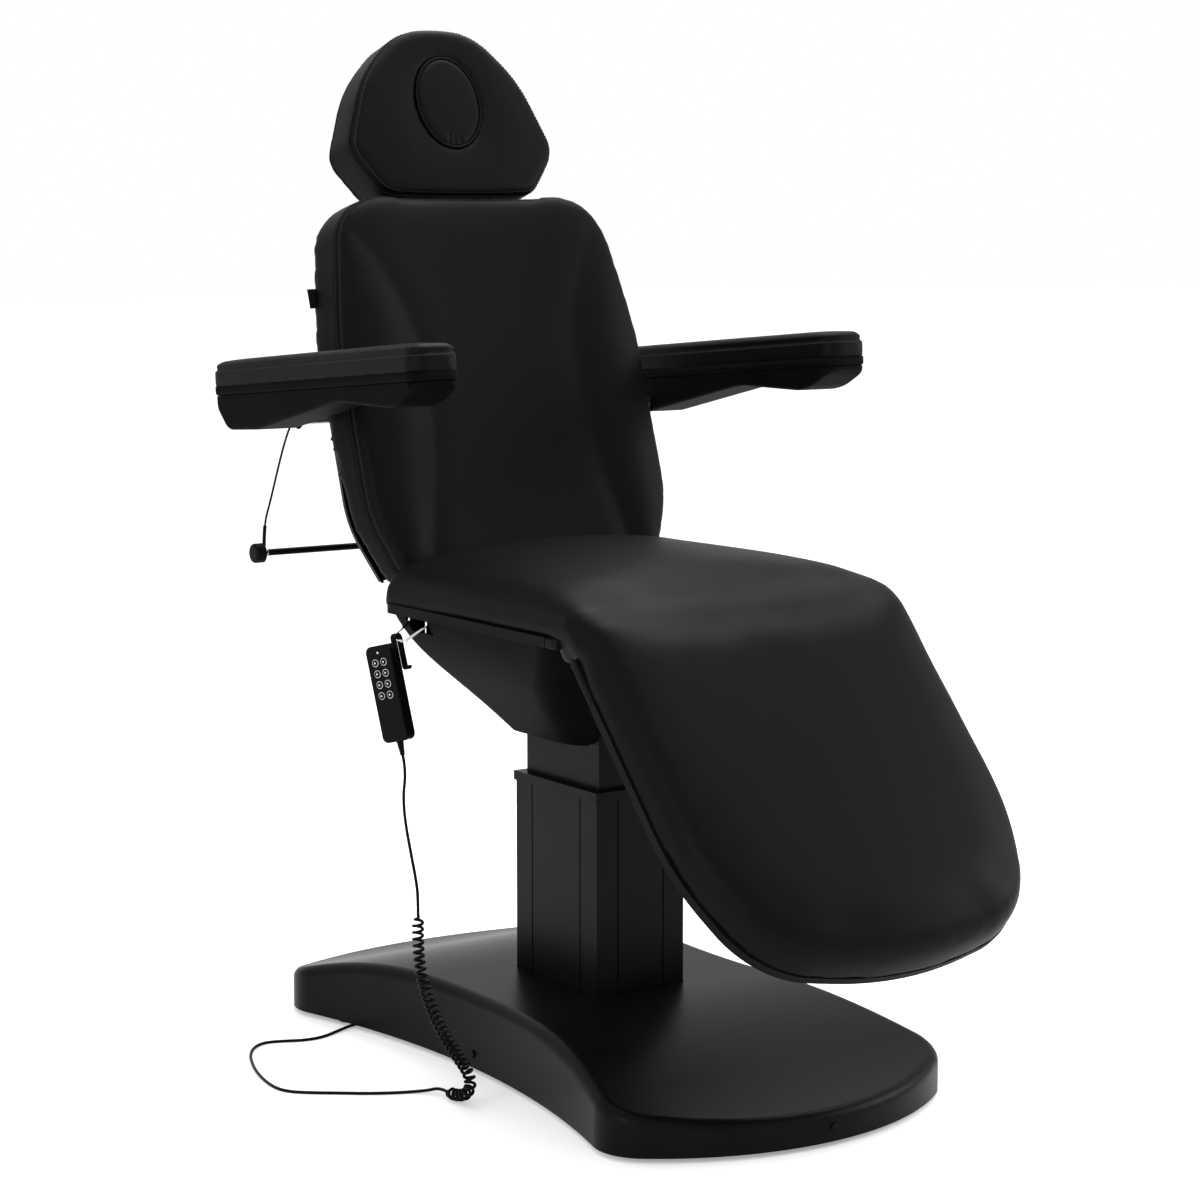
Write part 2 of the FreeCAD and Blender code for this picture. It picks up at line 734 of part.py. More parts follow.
belly_slot = box("inner_width + 2 * belly_slot_gap", "inner_depth + 2 * belly_slot_gap + belly_slot_rear",
                 "2 * ear_radius + belly_bottom - inner_bottom",
                 ("0", "belly_slot_rear / 2", "inner_bottom"))
belly_shell = solid(belly_form(0).cut(belly_form(S.belly_wall)))
rear_slot = box("2 * (motor_half + cheek_thickness + belly_slot_gap)", "2 * seat_rear_y", "board_z",
                ("recline_x", "seat_rear_y", "recline_motor_z - 2 * ear_radius"))
front_slot = box("2 * (motor_half + cheek_thickness + belly_slot_gap)", "-seat_front_y", "board_z",
                 ("leg_x", "seat_front_y", "leg_motor_z - 2 * ear_radius"))
hinge_slots = []
for way in (-1, 1):
    for y in ("seat_front_y", "seat_rear_y"):
        hinge_slots.append(box("2 * cheek_thickness + 2 * belly_slot_gap", "4 * rail_width", "2 * rail_height",
                               (f"{way} * (hinge_x + cheek_thickness)", y, "board_z - 2 * rail_height")))
hanger_recess = box("4 * rail_width", "hanger_span + 6 * hanger_radius", "rail_height",
                    ("-seat_half_width", "hanger_y", "board_z - rail_height"))
publish(cut(belly_shell, belly_slot, rear_slot, front_slot, hanger_recess, *hinge_slots), "seat_cover")


def pad_section(half, bottom, side_top, top, bulge, shoulder):
    """A cushion's cross-section: flat foot, sides that swell from the seam, crowned top."""
    low_left, low_right = V(-half, 0, bottom), V(half, 0, bottom)
    high_left, high_right = V(shoulder - half, 0, side_top), V(half - shoulder, 0, side_top)
    swell = (bottom + side_top) / 2
    return Part.Wire([
        Part.LineSegment(low_left, low_right).toShape(),
        Part.Arc(low_right, V(half + bulge - shoulder / 4, 0, swell + bulge), high_right).toShape(),
        Part.Arc(high_right, V(0, 0, top), high_left).toShape(),
        Part.Arc(high_left, V(bulge * -1 - half + shoulder / 4, 0, swell + bulge), low_left).toShape(),
    ])


seat_bottom = S.board_z + S.board_thickness
seat_drop = S.seat_top - S.knee_z - S.knee_radius
knee_top = S.knee_z + S.knee_radius
stations = [
    (S.seat_rear_y, S.seat_top, S.seat_side_top, S.seat_shoulder),
    ((S.seat_rear_y + S.seat_front_y) / 2, S.seat_top, S.seat_side_top, S.seat_shoulder),
    (S.seat_front_y + S.knee_radius, S.seat_top - 0.25 * seat_drop, S.seat_side_top, S.seat_shoulder - 4),
    (S.knee_y, knee_top, S.knee_z + S.knee_side, S.knee_shoulder),
]
rings = []
for y, top, side_top, shoulder in stations:
    ring = pad_section(S.seat_half_width, seat_bottom, side_top, top, S.seat_bulge, shoulder)
    ring.translate(V(0, y, 0))
    rings.append(ring)
seat_pad = Part.makeLoft(rings, True, False)
nose = Part.Face(rings[-1]).revolve(V(0, S.knee_y, S.knee_z), V(1, 0, 0), S.leg_angle + S.knee_wrap)
seat_pad = seat_pad.fuse(nose)
# room under the nose for the leg rest's hinge ears, which swing up with it
ear_room = S.cheek_thickness + 2 * S.notch_gap
leg_x = S.hinge_x + S.cheek_thickness + S.cheek_gap
for way in (-1, 1):
    seat_pad = seat_pad.cut(Part.makeBox(ear_room, 2 * S.knee_radius, 2 * (S.ear_radius + S.notch_gap) + 4,
                                         V(beside(leg_x - S.notch_gap, ear_room, way), S.knee_y - 1.5 * S.knee_radius,
                                           S.knee_z - S.ear_radius)))
publish(solid(seat_pad), "seat_cushion")


# Leg rest: cushion on a board, shallow cover, steel frame with the knee hinge and the motor's lever
def leg_outline(inset, start):
    """The leg rest seen from above: straight sides that round into a bowed end."""
    half, end = S.leg_half_width - inset, S.leg_length - inset
    return mirrored([
        (half, start, 0),
        (half, -S.leg_side_share * end, S.leg_side_bend * S.leg_length),
        (S.leg_corner_width_share * half, -S.leg_corner_share * end, S.leg_corner_bend * S.leg_half_width - inset),
        (0, -end, S.leg_end_bend * S.leg_half_width),
    ])


def leg_slab(section, start, depth):
    slab = Part.Face(section).extrude(V(0, -depth, 0))
    slab.translate(V(0, start, 0))
    return slab


knee_room = S.knee_radius + S.knee_gap
drum = pad_section(S.seat_half_width + S.knee_gap, seat_bottom - S.knee_z, S.knee_side + S.knee_gap, knee_room,
                   S.seat_bulge, S.knee_shoulder)
drum_core = Part.makeCylinder(S.knee_side / 2, 4 * S.leg_half_width, V(-2 * S.leg_half_width, 0, 0), V(1, 0, 0))
knee_hole = Part.Face(drum).revolve(V(), V(1, 0, 0), 360).fuse(drum_core)
leg_plan = prism("xy", leg_outline(0, -S.knee_gap), 0, 2 * S.leg_top)
wide = S.leg_half_width + S.leg_edge_radius
crown = Part.Wire([
    Part.LineSegment(V(-wide, 0, S.leg_seam), V(wide, 0, S.leg_seam)).toShape(),
    Part.LineSegment(V(wide, 0, S.leg_seam), V(wide, 0, S.leg_side_top)).toShape(),
    Part.Arc(V(wide, 0, S.leg_side_top), V(0, 0, S.leg_top), V(-wide, 0, S.leg_side_top)).toShape(),
    Part.LineSegment(V(-wide, 0, S.leg_side_top), V(-wide, 0, S.leg_seam)).toShape(),
])
leg_pad = leg_plan.common(leg_slab(crown, 0, 2 * S.leg_length))
top_rim = edges_where(leg_pad, lambda e, m: m.z > S.leg_seam + S.leg_edge_radius and m.y < -2 * S.knee_gap)
leg_pad = leg_pad.makeFillet(S.leg_edge_radius, top_rim).cut(knee_hole)
publish(solid(leg_pad), "leg_cushion", LEG)

leg_board = prism("xy", leg_outline(0, -knee_room), S.leg_seam - S.leg_board, S.leg_board)
leg_notch = S.cheek_thickness + 2 * S.notch_gap
notch_reach = knee_room + S.leg_tube + 2 * S.ear_radius
leg_notches = [Part.makeBox(leg_notch, notch_reach, 2 * S.leg_shell_depth + S.leg_board,
                            V(beside(leg_x - S.notch_gap, leg_notch, way), -notch_reach,
                              S.leg_seam - 2 * S.leg_board - S.leg_shell_depth))
               for way in (-1, 1)]
leg_notches = leg_notches[0].fuse(leg_notches[1])
publish(solid(leg_board.cut(leg_notches)), "leg_board", LEG)
tray_top = S.leg_seam - S.leg_board
tray = prism("xy", leg_outline(S.leg_shell_inset, -knee_room - S.leg_shell_inset),
             tray_top - S.leg_shell_depth, S.leg_shell_depth)
tray = tray.makeFillet(S.leg_shell_inset, edges_where(tray, lambda e, m: m.z < tray_top - S.leg_shell_depth + 1))
hollow = prism("xy", leg_outline(S.leg_shell_inset + S.belly_wall, 0), tray_top - S.leg_shell_depth + S.belly_wall,
               S.leg_shell_depth)
publish(solid(tray.cut(hollow).cut(leg_notches)), "leg_cover", LEG)

tube_z = tray_top - S.leg_tube + 2
frame_far = S.leg_frame_share * S.leg_length
leg_tubes = []
for way in (-1, 1):
    x = beside(leg_x, S.cheek_thickness, way)
    leg_tubes.append(ear(x, S.cheek_thickness, (0, 0), (-knee_room - S.leg_tube, tube_z)))
    leg_tubes.append(Part.makeBox(S.cheek_thickness, frame_far - knee_room, tray_top - tube_z, V(x, -frame_far, tube_z)))
for y in (-knee_room - S.leg_tube, -frame_far):
    leg_tubes.append(Part.makeBox(2 * leg_x, S.leg_tube, tray_top - tube_z, V(-leg_x, y, tube_z)))
lever_y, lever_z = S.leg_lever_y, S.leg_lever_z
leg_tubes.append(ear(S.leg_x - S.cheek_thickness / 2, S.cheek_thickness, (lever_y, lever_z),
                     (-knee_room - S.leg_tube / 2, tube_z + S.leg_tube / 4)))
leg_tubes.append(Part.makeCylinder(S.motor_pin, 2 * S.motor_eye, V(S.leg_x - S.motor_eye, lever_y, lever_z), V(1, 0, 0)))
leg_frame = leg_tubes[0].multiFuse(leg_tubes[1:]).cut(bores([(0, 0)], S.pin_radius + S.running_gap))
publish(solid(leg_frame.cut(leg_board)), "leg_frame", LEG)


# Back: cushion with raised bolsters, board, rear cover, steel frame
def back_outline(inset):
    """The back seen from the front: narrow foot, straight sides, tapering to broad round shoulders."""
    return mirrored([
        (S.back_foot_half_width - inset, S.back_bottom + inset, S.back_foot_bend - inset),
        (S.back_half_width - inset, S.back_bottom + S.back_foot_rise, S.back_side_bend),
        (S.back_half_width - inset, S.back_waist_share * S.back_top, S.back_waist_bend),
        (S.back_shoulder_share * S.back_half_width - inset, S.back_top - inset, S.back_corner_bend - inset),
    ])


# The front is a shallow hollow panel between two swelling bolsters, which meet it in a smooth line.
back_wide = S.back_half_width + S.back_edge_radius
panel_line = S.back_front + S.back_crease / 2
panel_floor = S.back_front + S.back_crease
lift = 2 * math.atan2(S.back_crease / 2, S.back_panel_half_width)
side_front = S.back_front + S.back_crease / 2
right_join = V(S.back_panel_half_width, panel_line, 0)
left_join = V(-S.back_panel_half_width, panel_line, 0)
right_side, left_side = V(back_wide, side_front, 0), V(-back_wide, side_front, 0)
section = Part.Wire([
    Part.LineSegment(V(-back_wide, S.back_rear, 0), V(back_wide, S.back_rear, 0)).toShape(),
    Part.LineSegment(V(back_wide, S.back_rear, 0), right_side).toShape(),
    tangent_arc(right_join, V(math.cos(lift), -math.sin(lift), 0), right_side),
    Part.Arc(right_join, V(0, panel_floor, 0), left_join).toShape(),
    tangent_arc(left_join, V(-math.cos(lift), -math.sin(lift), 0), left_side),
    Part.LineSegment(left_side, V(-back_wide, S.back_rear, 0)).toShape(),
])
slab = Part.Face(section).extrude(V(0, 0, 2 * S.back_top))
slab.translate(V(0, 0, -S.back_top / 2))
depth = S.back_rear - S.back_front
back_plan = prism("xz", back_outline(0), S.back_front - depth, 3 * depth)
back_pad = back_plan.common(slab)
front_rim = edges_where(back_pad, lambda e, m: m.y < panel_floor + 1
                        and not (abs(abs(m.x) - S.back_panel_half_width) < 1 and e.Length > S.back_top / 2))
foot_cut = prism("yz", [(-S.back_foot_cut_share * depth, S.back_bottom, 0), (S.back_foot_round, S.back_foot_round + S.back_bottom, 0),
                        (S.back_foot_round, 2 * S.back_bottom, 0), (-S.back_foot_cut_share * depth, 2 * S.back_bottom, 0)],
                 -back_wide, 2 * back_wide)
notch_width = 2 * S.cheek_thickness + S.cheek_gap + 2 * S.notch_gap
notch_front = -S.ear_radius - S.notch_gap
notches = [Part.makeBox(notch_width, 2 * depth, S.back_foot_round + 2 * S.back_tube + S.ear_radius - S.back_bottom,
                        V(beside(S.hinge_x - S.notch_gap, notch_width, way), notch_front, S.back_bottom)) for way in (-1, 1)]
foot_cut = foot_cut.multiFuse(notches)
back_pad = back_pad.makeFillet(S.back_edge_radius, front_rim).cut(foot_cut)
publish(solid(back_pad), "back_cushion", BACK)

board_rear = S.back_rear + S.back_board
back_board = prism("xz", back_outline(S.back_board_inset), S.back_rear, S.back_board).cut(foot_cut)
publish(solid(back_board), "back_board", BACK)


def dome_ring(y, inset, spread):
    """One ring of the rear cover: the back's outline drawn in, then narrowed about its middle height."""
    middle = (S.back_top + S.back_bottom) / 2
    ring = [(u * spread, middle + (v - middle) * (1 + spread) / 2, radius) for u, v, radius in back_outline(inset)]
    wire = outline("xz", ring)
    wire.translate(V(0, y, 0))
    return wire


def dome(inset):
    """The rear cover's outside, or its hollow when drawn in by the wall."""
    rear = board_rear + S.back_cover_rim - inset
    rings = [
        dome_ring(board_rear, S.back_board_inset + inset, 1.0),
        dome_ring(board_rear + S.back_cover_rim / 2, S.back_board_inset + inset, S.dome_rim_share),
        dome_ring(rear, S.back_board_inset + inset, S.dome_edge_share),
        dome_ring(rear + S.back_bulge, S.back_board_inset + inset, S.dome_top_share),
    ]
    return Part.makeLoft(rings, True, True)


pivot = (S.arm_pivot_y, S.arm_pivot_z)
far = S.arm_x + S.arm_width
posts = [Part.makeCylinder(S.post_radius + 1, S.head_top, V(way * S.post_x, S.post_y, S.post_bottom), V(0, 0, 1))
         for way in (-1, 1)]
rear_cover = dome(0).cut(dome(S.back_cover_wall)).cut(foot_cut)
rear_cover = rear_cover.cut(bores([pivot], S.axle_radius + 0.5)).cut(posts[0].fuse(posts[1]))
publish(solid(rear_cover), "back_cover", BACK)

tube_depth = S.back_cover_rim - S.back_cover_wall - 1
steel = []
for way in (-1, 1):
    steel.append(Part.makeBox(S.back_tube, tube_depth, S.bush_z + S.bush_length - S.back_foot_round,
                              V(beside(S.back_tube_x, S.back_tube, way), board_rear, S.back_foot_round)))
    steel.append(ear(beside(leg_x, S.cheek_thickness, way), S.cheek_thickness, (0, 0),
                     (board_rear + tube_depth / 2, S.back_foot_round + S.back_tube)))
    steel.append(Part.makeBox(2 * S.back_tube, S.post_y + S.post_radius + 2 * S.bush_wall - board_rear, S.bush_length,
                              V(way * S.post_x - S.back_tube, board_rear, S.bush_z)))
for z in (S.back_foot_round + S.back_tube / 2, S.arm_pivot_z - S.back_tube / 2, S.bush_z):
    half = leg_x + S.cheek_thickness if z < S.back_tube_x else S.back_tube_x + S.back_tube
    steel.append(Part.makeBox(2 * half, tube_depth, S.back_tube, V(-half, board_rear, z)))
lever = (S.recline_lever_y, S.recline_lever_z)
steel.append(ear(S.recline_x - S.cheek_thickness / 2, S.cheek_thickness, lever,
                 (board_rear + tube_depth / 2, S.back_foot_round + S.back_tube)))
steel.append(Part.makeCylinder(S.motor_pin, 2 * S.motor_eye, V(S.recline_x - S.motor_eye, *lever), V(1, 0, 0)))
back_frame = steel[0].multiFuse(steel[1:])
bush_holes = [Part.makeCylinder(S.post_radius + S.bush_wall, 2 * S.bush_length,
                                V(way * S.post_x, S.post_y, S.bush_z - S.bush_length / 2)) for way in (-1, 1)]
back_frame = back_frame.cut(bores([(0, 0)], S.pin_radius + S.running_gap)).cut(bores([pivot], S.axle_radius))
back_frame = back_frame.cut(bush_holes[0].fuse(bush_holes[1])).cut(back_board)
publish(solid(back_frame), "back_frame", BACK)
axles = [Part.makeCylinder(S.axle_radius, S.arm_x - S.arm_width / 2 + S.axle_boss - S.back_tube_x,
                           V(way * S.back_tube_x, *pivot), V(way, 0, 0)) for way in (-1, 1)]
publish(solid(Part.makeCompound(axles)), "arm_axles", BACK)
bushes = []
for way in (-1, 1):
    start = V(way * S.post_x, S.post_y, S.bush_z)
    sleeve = Part.makeCylinder(S.post_radius + S.bush_wall, S.bush_length, start)
    bushes.append(sleeve.cut(Part.makeCylinder(S.post_radius + S.running_gap, S.bush_length, start)))
publish(solid(Part.makeCompound(bushes)), "post_bushes", BACK)


# Head rest: cushion with an oval face opening and its plug, board, posts
def head_outline(inset):
    """The head rest seen from the front: a low wide foot under a round dome."""
    half, top = S.head_half_width - inset, S.head_top - inset
    return mirrored([
        (S.head_foot_half_width - inset, S.head_bottom + inset, S.head_foot_bend - inset),
        (half, S.head_bottom + S.head_ear_height, S.head_ear_bend),
        (S.head_temple_share * half, top - S.head_temple_drop, S.head_temple_bend),
        (S.head_crown_share * half, top - S.head_crown_drop, S.head_crown_bend - inset),
        (0, top, S.head_top_bend),
    ])


def oval(half_width, half_height, start, depth):
    """An upright oval prism through the head rest."""
    ring = Part.Ellipse(V(0, half_height, 0), V(half_width, 0, 0), V()).toShape()
    face = Part.Face(Part.Wire(ring))
    face.rotate(V(), V(1, 0, 0), 90)
    face.translate(V(0, start, S.plug_z))
    return face.extrude(V(0, depth, 0))


def crowned(front, rear, crown, half):
    """A thick slab along Z whose front bows forward by its crown."""
    edge = Part.Wire([
        Part.LineSegment(V(-half, rear, 0), V(half, rear, 0)).toShape(),
        Part.LineSegment(V(half, rear, 0), V(half, front + crown, 0)).toShape(),
        Part.Arc(V(half, front + crown, 0), V(0, front, 0), V(-half, front + crown, 0)).toShape(),
        Part.LineSegment(V(-half, front + crown, 0), V(-half, rear, 0)).toShape(),
    ])
    return Part.Face(edge).extrude(V(0, 0, 2 * S.head_top))


head_depth = S.head_rear - S.head_front
head_slab = crowned(S.head_front, S.head_rear, S.plug_crown, S.head_half_width)
head_pad = prism("xz", head_outline(0), S.head_front - head_depth, 3 * head_depth).common(head_slab)
head_rim = edges_where(head_pad, lambda e, m: m.y < S.head_front + 2 * S.plug_crown)
head_pad = head_pad.makeFillet(S.head_edge_radius, head_rim)
head_pad = head_pad.makeFillet(S.head_edge_radius / 2, edges_where(head_pad, lambda e, m: m.y > S.head_rear - 0.1))
head_pad = head_pad.cut(oval(S.plug_half_width + S.plug_gap, S.plug_half_height + S.plug_gap,
                             S.head_front - head_depth, 3 * head_depth))
pocket_half = S.post_x + 2 * S.post_radius
pocket_top = S.head_pivot_z + S.ear_radius + S.notch_gap
pocket_front = S.post_y - S.ear_radius - S.notch_gap
head_pad = head_pad.cut(Part.makeBox(2 * pocket_half, head_depth, pocket_top, V(-pocket_half, pocket_front, 0)))
publish(solid(head_pad), "head_cushion", BACK)
plug = oval(S.plug_half_width, S.plug_half_height, S.head_front - head_depth, 3 * head_depth)
plug = plug.common(crowned(S.head_front - S.plug_crown / 2, S.head_rear - S.plug_gap, S.plug_crown, S.head_half_width))
plug = plug.makeFillet(S.plug_crown, edges_where(plug, lambda e, m: m.y < S.head_front + S.plug_crown))
publish(solid(plug), "face_plug", BACK)
head_board = prism("xz", head_outline(S.head_board_inset), S.head_rear, S.head_board)
head_board = head_board.cut(oval(S.plug_half_width - S.head_board, S.plug_half_height - S.head_board,
                                 S.head_front, 3 * head_depth))
for way in (-1, 1):
    slot_left = way * S.post_x - 2 * S.post_radius
    head_board = head_board.cut(Part.makeBox(4 * S.post_radius, 2 * head_depth, pocket_top, V(slot_left, 0, 0)))
head_pivot = (S.post_y, S.head_pivot_z)
for way in (-1, 1):
    clamp = ear(beside(S.post_x / 2, S.cheek_thickness, way), S.cheek_thickness, head_pivot,
                (S.head_rear + S.head_board / 2, S.head_pivot_z))
    head_board = head_board.fuse(clamp)
head_board = head_board.cut(bores([head_pivot], S.post_radius + S.running_gap))
publish(solid(head_board), "head_board", BACK)
yoke = Part.makeCylinder(S.post_radius, 2 * S.post_x, V(-S.post_x, *head_pivot), V(1, 0, 0))
for way in (-1, 1):
    yoke = yoke.fuse(Part.makeCylinder(S.post_radius, S.head_pivot_z - S.post_bottom,
                                       V(way * S.post_x, S.post_y, S.post_bottom)))
    yoke = yoke.fuse(Part.makeSphere(S.post_radius, V(way * S.post_x, *head_pivot)))
publish(solid(yoke), "head_posts", BACK)

def turned(spot, axis, degrees):
    """A place (y, z) drawn about an axis (y, z), turned about X by an angle."""
    c, s = math.cos(math.radians(degrees)), math.sin(math.radians(degrees))
    return axis[0] + spot[0] * c - spot[1] * s, axis[1] + spot[0] * s + spot[1] * c


# Motors: each housing turns on stubs in its lugs, and its rod slides out to a fork or eye at the far pivot
def motor(label, foot, head, x, body_length, rod_start, trunnion, bore, forked):
    along = V(0, head[0] - foot[0], head[1] - foot[1])
    length = along.Length
    way = along.normalize()
    foot_point, head_point = V(x, *foot), V(x, *head)
    cross = V(1, 0, 0)
    stub = S.motor_half + S.cheek_gap + S.cheek_thickness
    housing = Part.makeCylinder(S.motor_radius, body_length, foot_point, way)
    housing = housing.fuse(Part.makeCylinder(S.motor_eye, 2 * S.motor_half, foot_point - cross * S.motor_half, cross))
    housing = housing.fuse(Part.makeCylinder(trunnion - S.running_gap, 2 * stub, foot_point - cross * stub, cross))
    inside = Part.makeCylinder(S.motor_rod + S.running_gap, body_length, foot_point + way * (2 * S.motor_radius), way)
    publish(solid(housing.cut(inside)), label + "_motor")
    eye = bore + S.fork_plate
    if forked:
        lever_half = S.cheek_thickness / 2 + S.fork_gap
        root = S.ear_radius + bore - S.motor_pin + S.fork_gap
        ram = Part.makeCylinder(S.motor_rod, length - rod_start - root, foot_point + way * rod_start, way)
        yoke_start = foot_point + way * (length - root - S.fork_plate)
        ram = ram.fuse(Part.makeCylinder(lever_half + S.fork_plate, S.fork_plate, yoke_start, way))
        for side in (-1, 1):
            plate = ear(x + beside(lever_half, S.fork_plate, side), S.fork_plate, head,
                        (head[0] - way.y * (root + S.fork_plate), head[1] - way.z * (root + S.fork_plate)), eye)
            ram = ram.fuse(plate)
    else:
        ram = Part.makeCylinder(S.motor_rod, length - rod_start, foot_point + way * rod_start, way)
        ram = ram.fuse(Part.makeCylinder(eye, 2 * S.motor_radius, head_point - cross * S.motor_radius, cross))
    ram = ram.cut(Part.makeCylinder(bore, 4 * S.motor_half, head_point - cross * 2 * S.motor_half, cross))
    publish(solid(ram), label + "_rod")


motor("tilt", motor_foot, tilt_head, 0, S.tilt_tube, S.tilt_ram, S.motor_pin, S.pin_radius + S.tilt_open, False)
motor("recline", recline_foot, turned(lever, recline, S.back_lean), S.recline_x, S.recline_tube, S.recline_ram, S.pin_radius,
      S.motor_pin + S.recline_open, True)
motor("leg", leg_foot, turned((lever_y, lever_z), knee, S.leg_angle), S.leg_x, S.leg_motor_tube, S.leg_ram, S.pin_radius,
      S.motor_pin + S.leg_open, True)

# Pivot pins held by the seat frame: tilt, tilt motor's head, knee and recline hinges
tilt_reach = S.cheek_x + 2 * S.cheek_thickness + S.cheek_gap
head_reach = S.motor_half + S.cheek_gap + S.cheek_thickness
pins = [
    Part.makeCylinder(S.pin_radius, 2 * tilt_reach, V(-tilt_reach, *tilt), V(1, 0, 0)),
    Part.makeCylinder(S.pin_radius, 2 * head_reach, V(-head_reach, *tilt_head), V(1, 0, 0)),
]
for spot in (knee, recline):
    for way in (-1, 1):
        pins.append(Part.makeCylinder(S.pin_radius, 2 * S.cheek_thickness + S.cheek_gap,
                                      V(way * S.hinge_x, *spot), V(way, 0, 0)))
publish(solid(Part.makeCompound(pins)), "pivot_pins")

# Arm rests: upholstered pad on a moulded shell that turns on the back's axle
arm_spot = turned(pivot, recline, S.back_lean)
ARM = (f"{arm_spot[0]} + column_y", f"{arm_spot[1]}", "arm_pitch")


def arm_plan(x, inset, bottom, height):
    half = S.arm_width / 2 - inset
    corner = S.arm_corner - inset
    ring = [
        (x - half, S.arm_front + inset, corner), (x + half, S.arm_front + inset, corner),
        (x + half, S.arm_rear - inset, corner), (x - half, S.arm_rear - inset, corner),
    ]
    return prism("xy", ring, bottom, height)


def arm_side(rise):
    """The shell from the side: deep at the pivot, thin at mid length, swelling again at the front."""
    low = S.arm_seam - S.arm_band
    return [
        (S.arm_rear + S.arm_wall, low + rise, 0),
        (S.arm_tail_share * S.arm_rear, rise - S.arm_tail_drop, S.arm_tail_bend),
        (0, rise - S.arm_pivot_drop, S.arm_pivot_bend),
        (S.arm_waist_share * S.arm_front, rise + S.arm_waist_rise, S.arm_waist_bend),
        (S.arm_nose_share * S.arm_front, rise + S.arm_nose_rise, S.arm_nose_bend),
        (S.arm_tip_share * S.arm_front, low + rise - S.arm_tip_drop, S.arm_tip_bend),
        (S.arm_front - S.arm_wall, low + rise, 0),
        (S.arm_front - S.arm_wall, low + rise + 1, 0),
        (S.arm_rear + S.arm_wall, low + rise + 1, 0),
    ]


for name, way in (("right", -1), ("left", 1)):
    x = way * S.arm_x
    pad = arm_plan(x, 0, S.arm_seam, S.arm_pad_height)
    pad = pad.makeFillet(S.arm_pad_radius, edges_where(pad, lambda e, m: m.z > S.arm_seam + S.arm_pad_height - 0.1))
    publish(solid(pad), name + "_arm_pad", ARM)
    low = S.arm_seam - S.arm_band
    reach = S.arm_width
    keel = prism("yz", arm_side(0), x - reach, 2 * reach)
    keel = keel.common(arm_plan(x, S.arm_band_step, -S.arm_rear, 2 * S.arm_rear))
    band = arm_plan(x, 0, low, S.arm_band)
    hollow = prism("yz", arm_side(S.arm_wall + 3), x - reach, 2 * reach)
    hollow = hollow.common(arm_plan(x, S.arm_band_step + S.arm_wall + 2, -S.arm_rear, 2 * S.arm_rear))
    hollow = hollow.fuse(arm_plan(x, S.arm_band_step + S.arm_wall + 2, low, S.arm_band))
    inner_face = x - way * (S.arm_width / 2 - S.arm_band_step)
    boss = Part.makeCylinder(1.6 * S.axle_radius, S.axle_boss, V(inner_face, 0, 0), V(way, 0, 0))
    shell = keel.fuse(band).cut(hollow.cut(boss))
    shell = shell.cut(bores([(0, 0)], S.axle_radius + S.running_gap).common(
        Part.makeBox(S.arm_width, 8 * S.axle_radius, 8 * S.axle_radius,
                     V(x - S.arm_width / 2 - way * (S.arm_width - S.axle_boss - S.arm_band_step),
                       -4 * S.axle_radius, -4 * S.axle_radius))))
    publish(solid(shell), name + "_arm_shell", ARM)


# Handset: drawn upright about its middle, face towards -Y, then leaned and yawed to hang from its wire
HUNG = FreeCAD.Rotation(V(0, 0, 1), S.handset_yaw).multiply(FreeCAD.Rotation(V(0, 1, 0), S.handset_lean))


def publish_hung(shape, label):
    piece = solid(shape)
    piece.Label = label
    piece.Placement = FreeCAD.Placement(V(), HUNG)
    bind(piece, "Placement.Base.x", "-seat_half_width - handset_out")
    bind(piece, "Placement.Base.y", "handset_y + column_y")
    bind(piece, "Placement.Base.z", "handset_z")
    PARTS.append(piece)


def hung(x, y, z):
    """A place on the handset in the working frame."""
    return V(-S.seat_half_width - S.handset_out, S.handset_y, S.handset_z) + HUNG.multVec(V(x, y, z))


half_w, half_d, half_l = S.handset_width / 2, S.handset_depth / 2, S.handset_length / 2
case = prism("xz", mirrored([(half_w, -half_l, S.handset_corner), (half_w, half_l, S.handset_corner)]),
             -half_d, S.handset_depth)
case = case.makeFillet(S.handset_edge, edges_where(case, lambda e, m: abs(abs(m.y) - half_d) < 0.01))
button_spots = [(way * S.button_pitch_x / 2, S.button_top_z - row * S.button_pitch_z)
                for row in range(4) for way in (-1, 1)]
sunk = S.button_height - S.button_proud
for x, z in button_spots:
    case = case.cut(Part.makeCylinder(S.button_radius + S.button_gap, sunk + S.button_travel + S.button_gap,
                                      V(x, -half_d, z), V(0, 1, 0)))
publish_hung(case, "handset_case")
for number, (x, z) in enumerate(button_spots, start=1):
    button = Part.makeCylinder(S.button_radius, S.button_height, V(x, -half_d - S.button_proud, z), V(0, 1, 0))
    publish_hung(button, f"button_{number}")
publish_hung(Part.makeCone(S.boot_radius, S.boot_tip_radius, S.boot_length, V(0, 0, -half_l), V(0, 0, -1)), "handset_boot")


def half_ring(y, z, inner, up):
    """Half a flat ring of the hook strip, open downwards or upwards."""
    outer = inner + S.hook_thickness
    left = S.hook_x - S.hook_width / 2
    across = V(1, 0, 0)
    ring = Part.makeCylinder(outer, S.hook_width, V(left, y, z), across)
    ring = ring.cut(Part.makeCylinder(inner, S.hook_width, V(left, y, z), across))
    keep = Part.makeBox(S.hook_width, 2 * outer, outer, V(left, y - outer, z if up else z - outer))
    return ring.common(keep)


def strip(y, bottom, top):
    return Part.makeBox(S.hook_width, S.hook_thickness, top - bottom, V(S.hook_x - S.hook_width / 2, y, bottom))


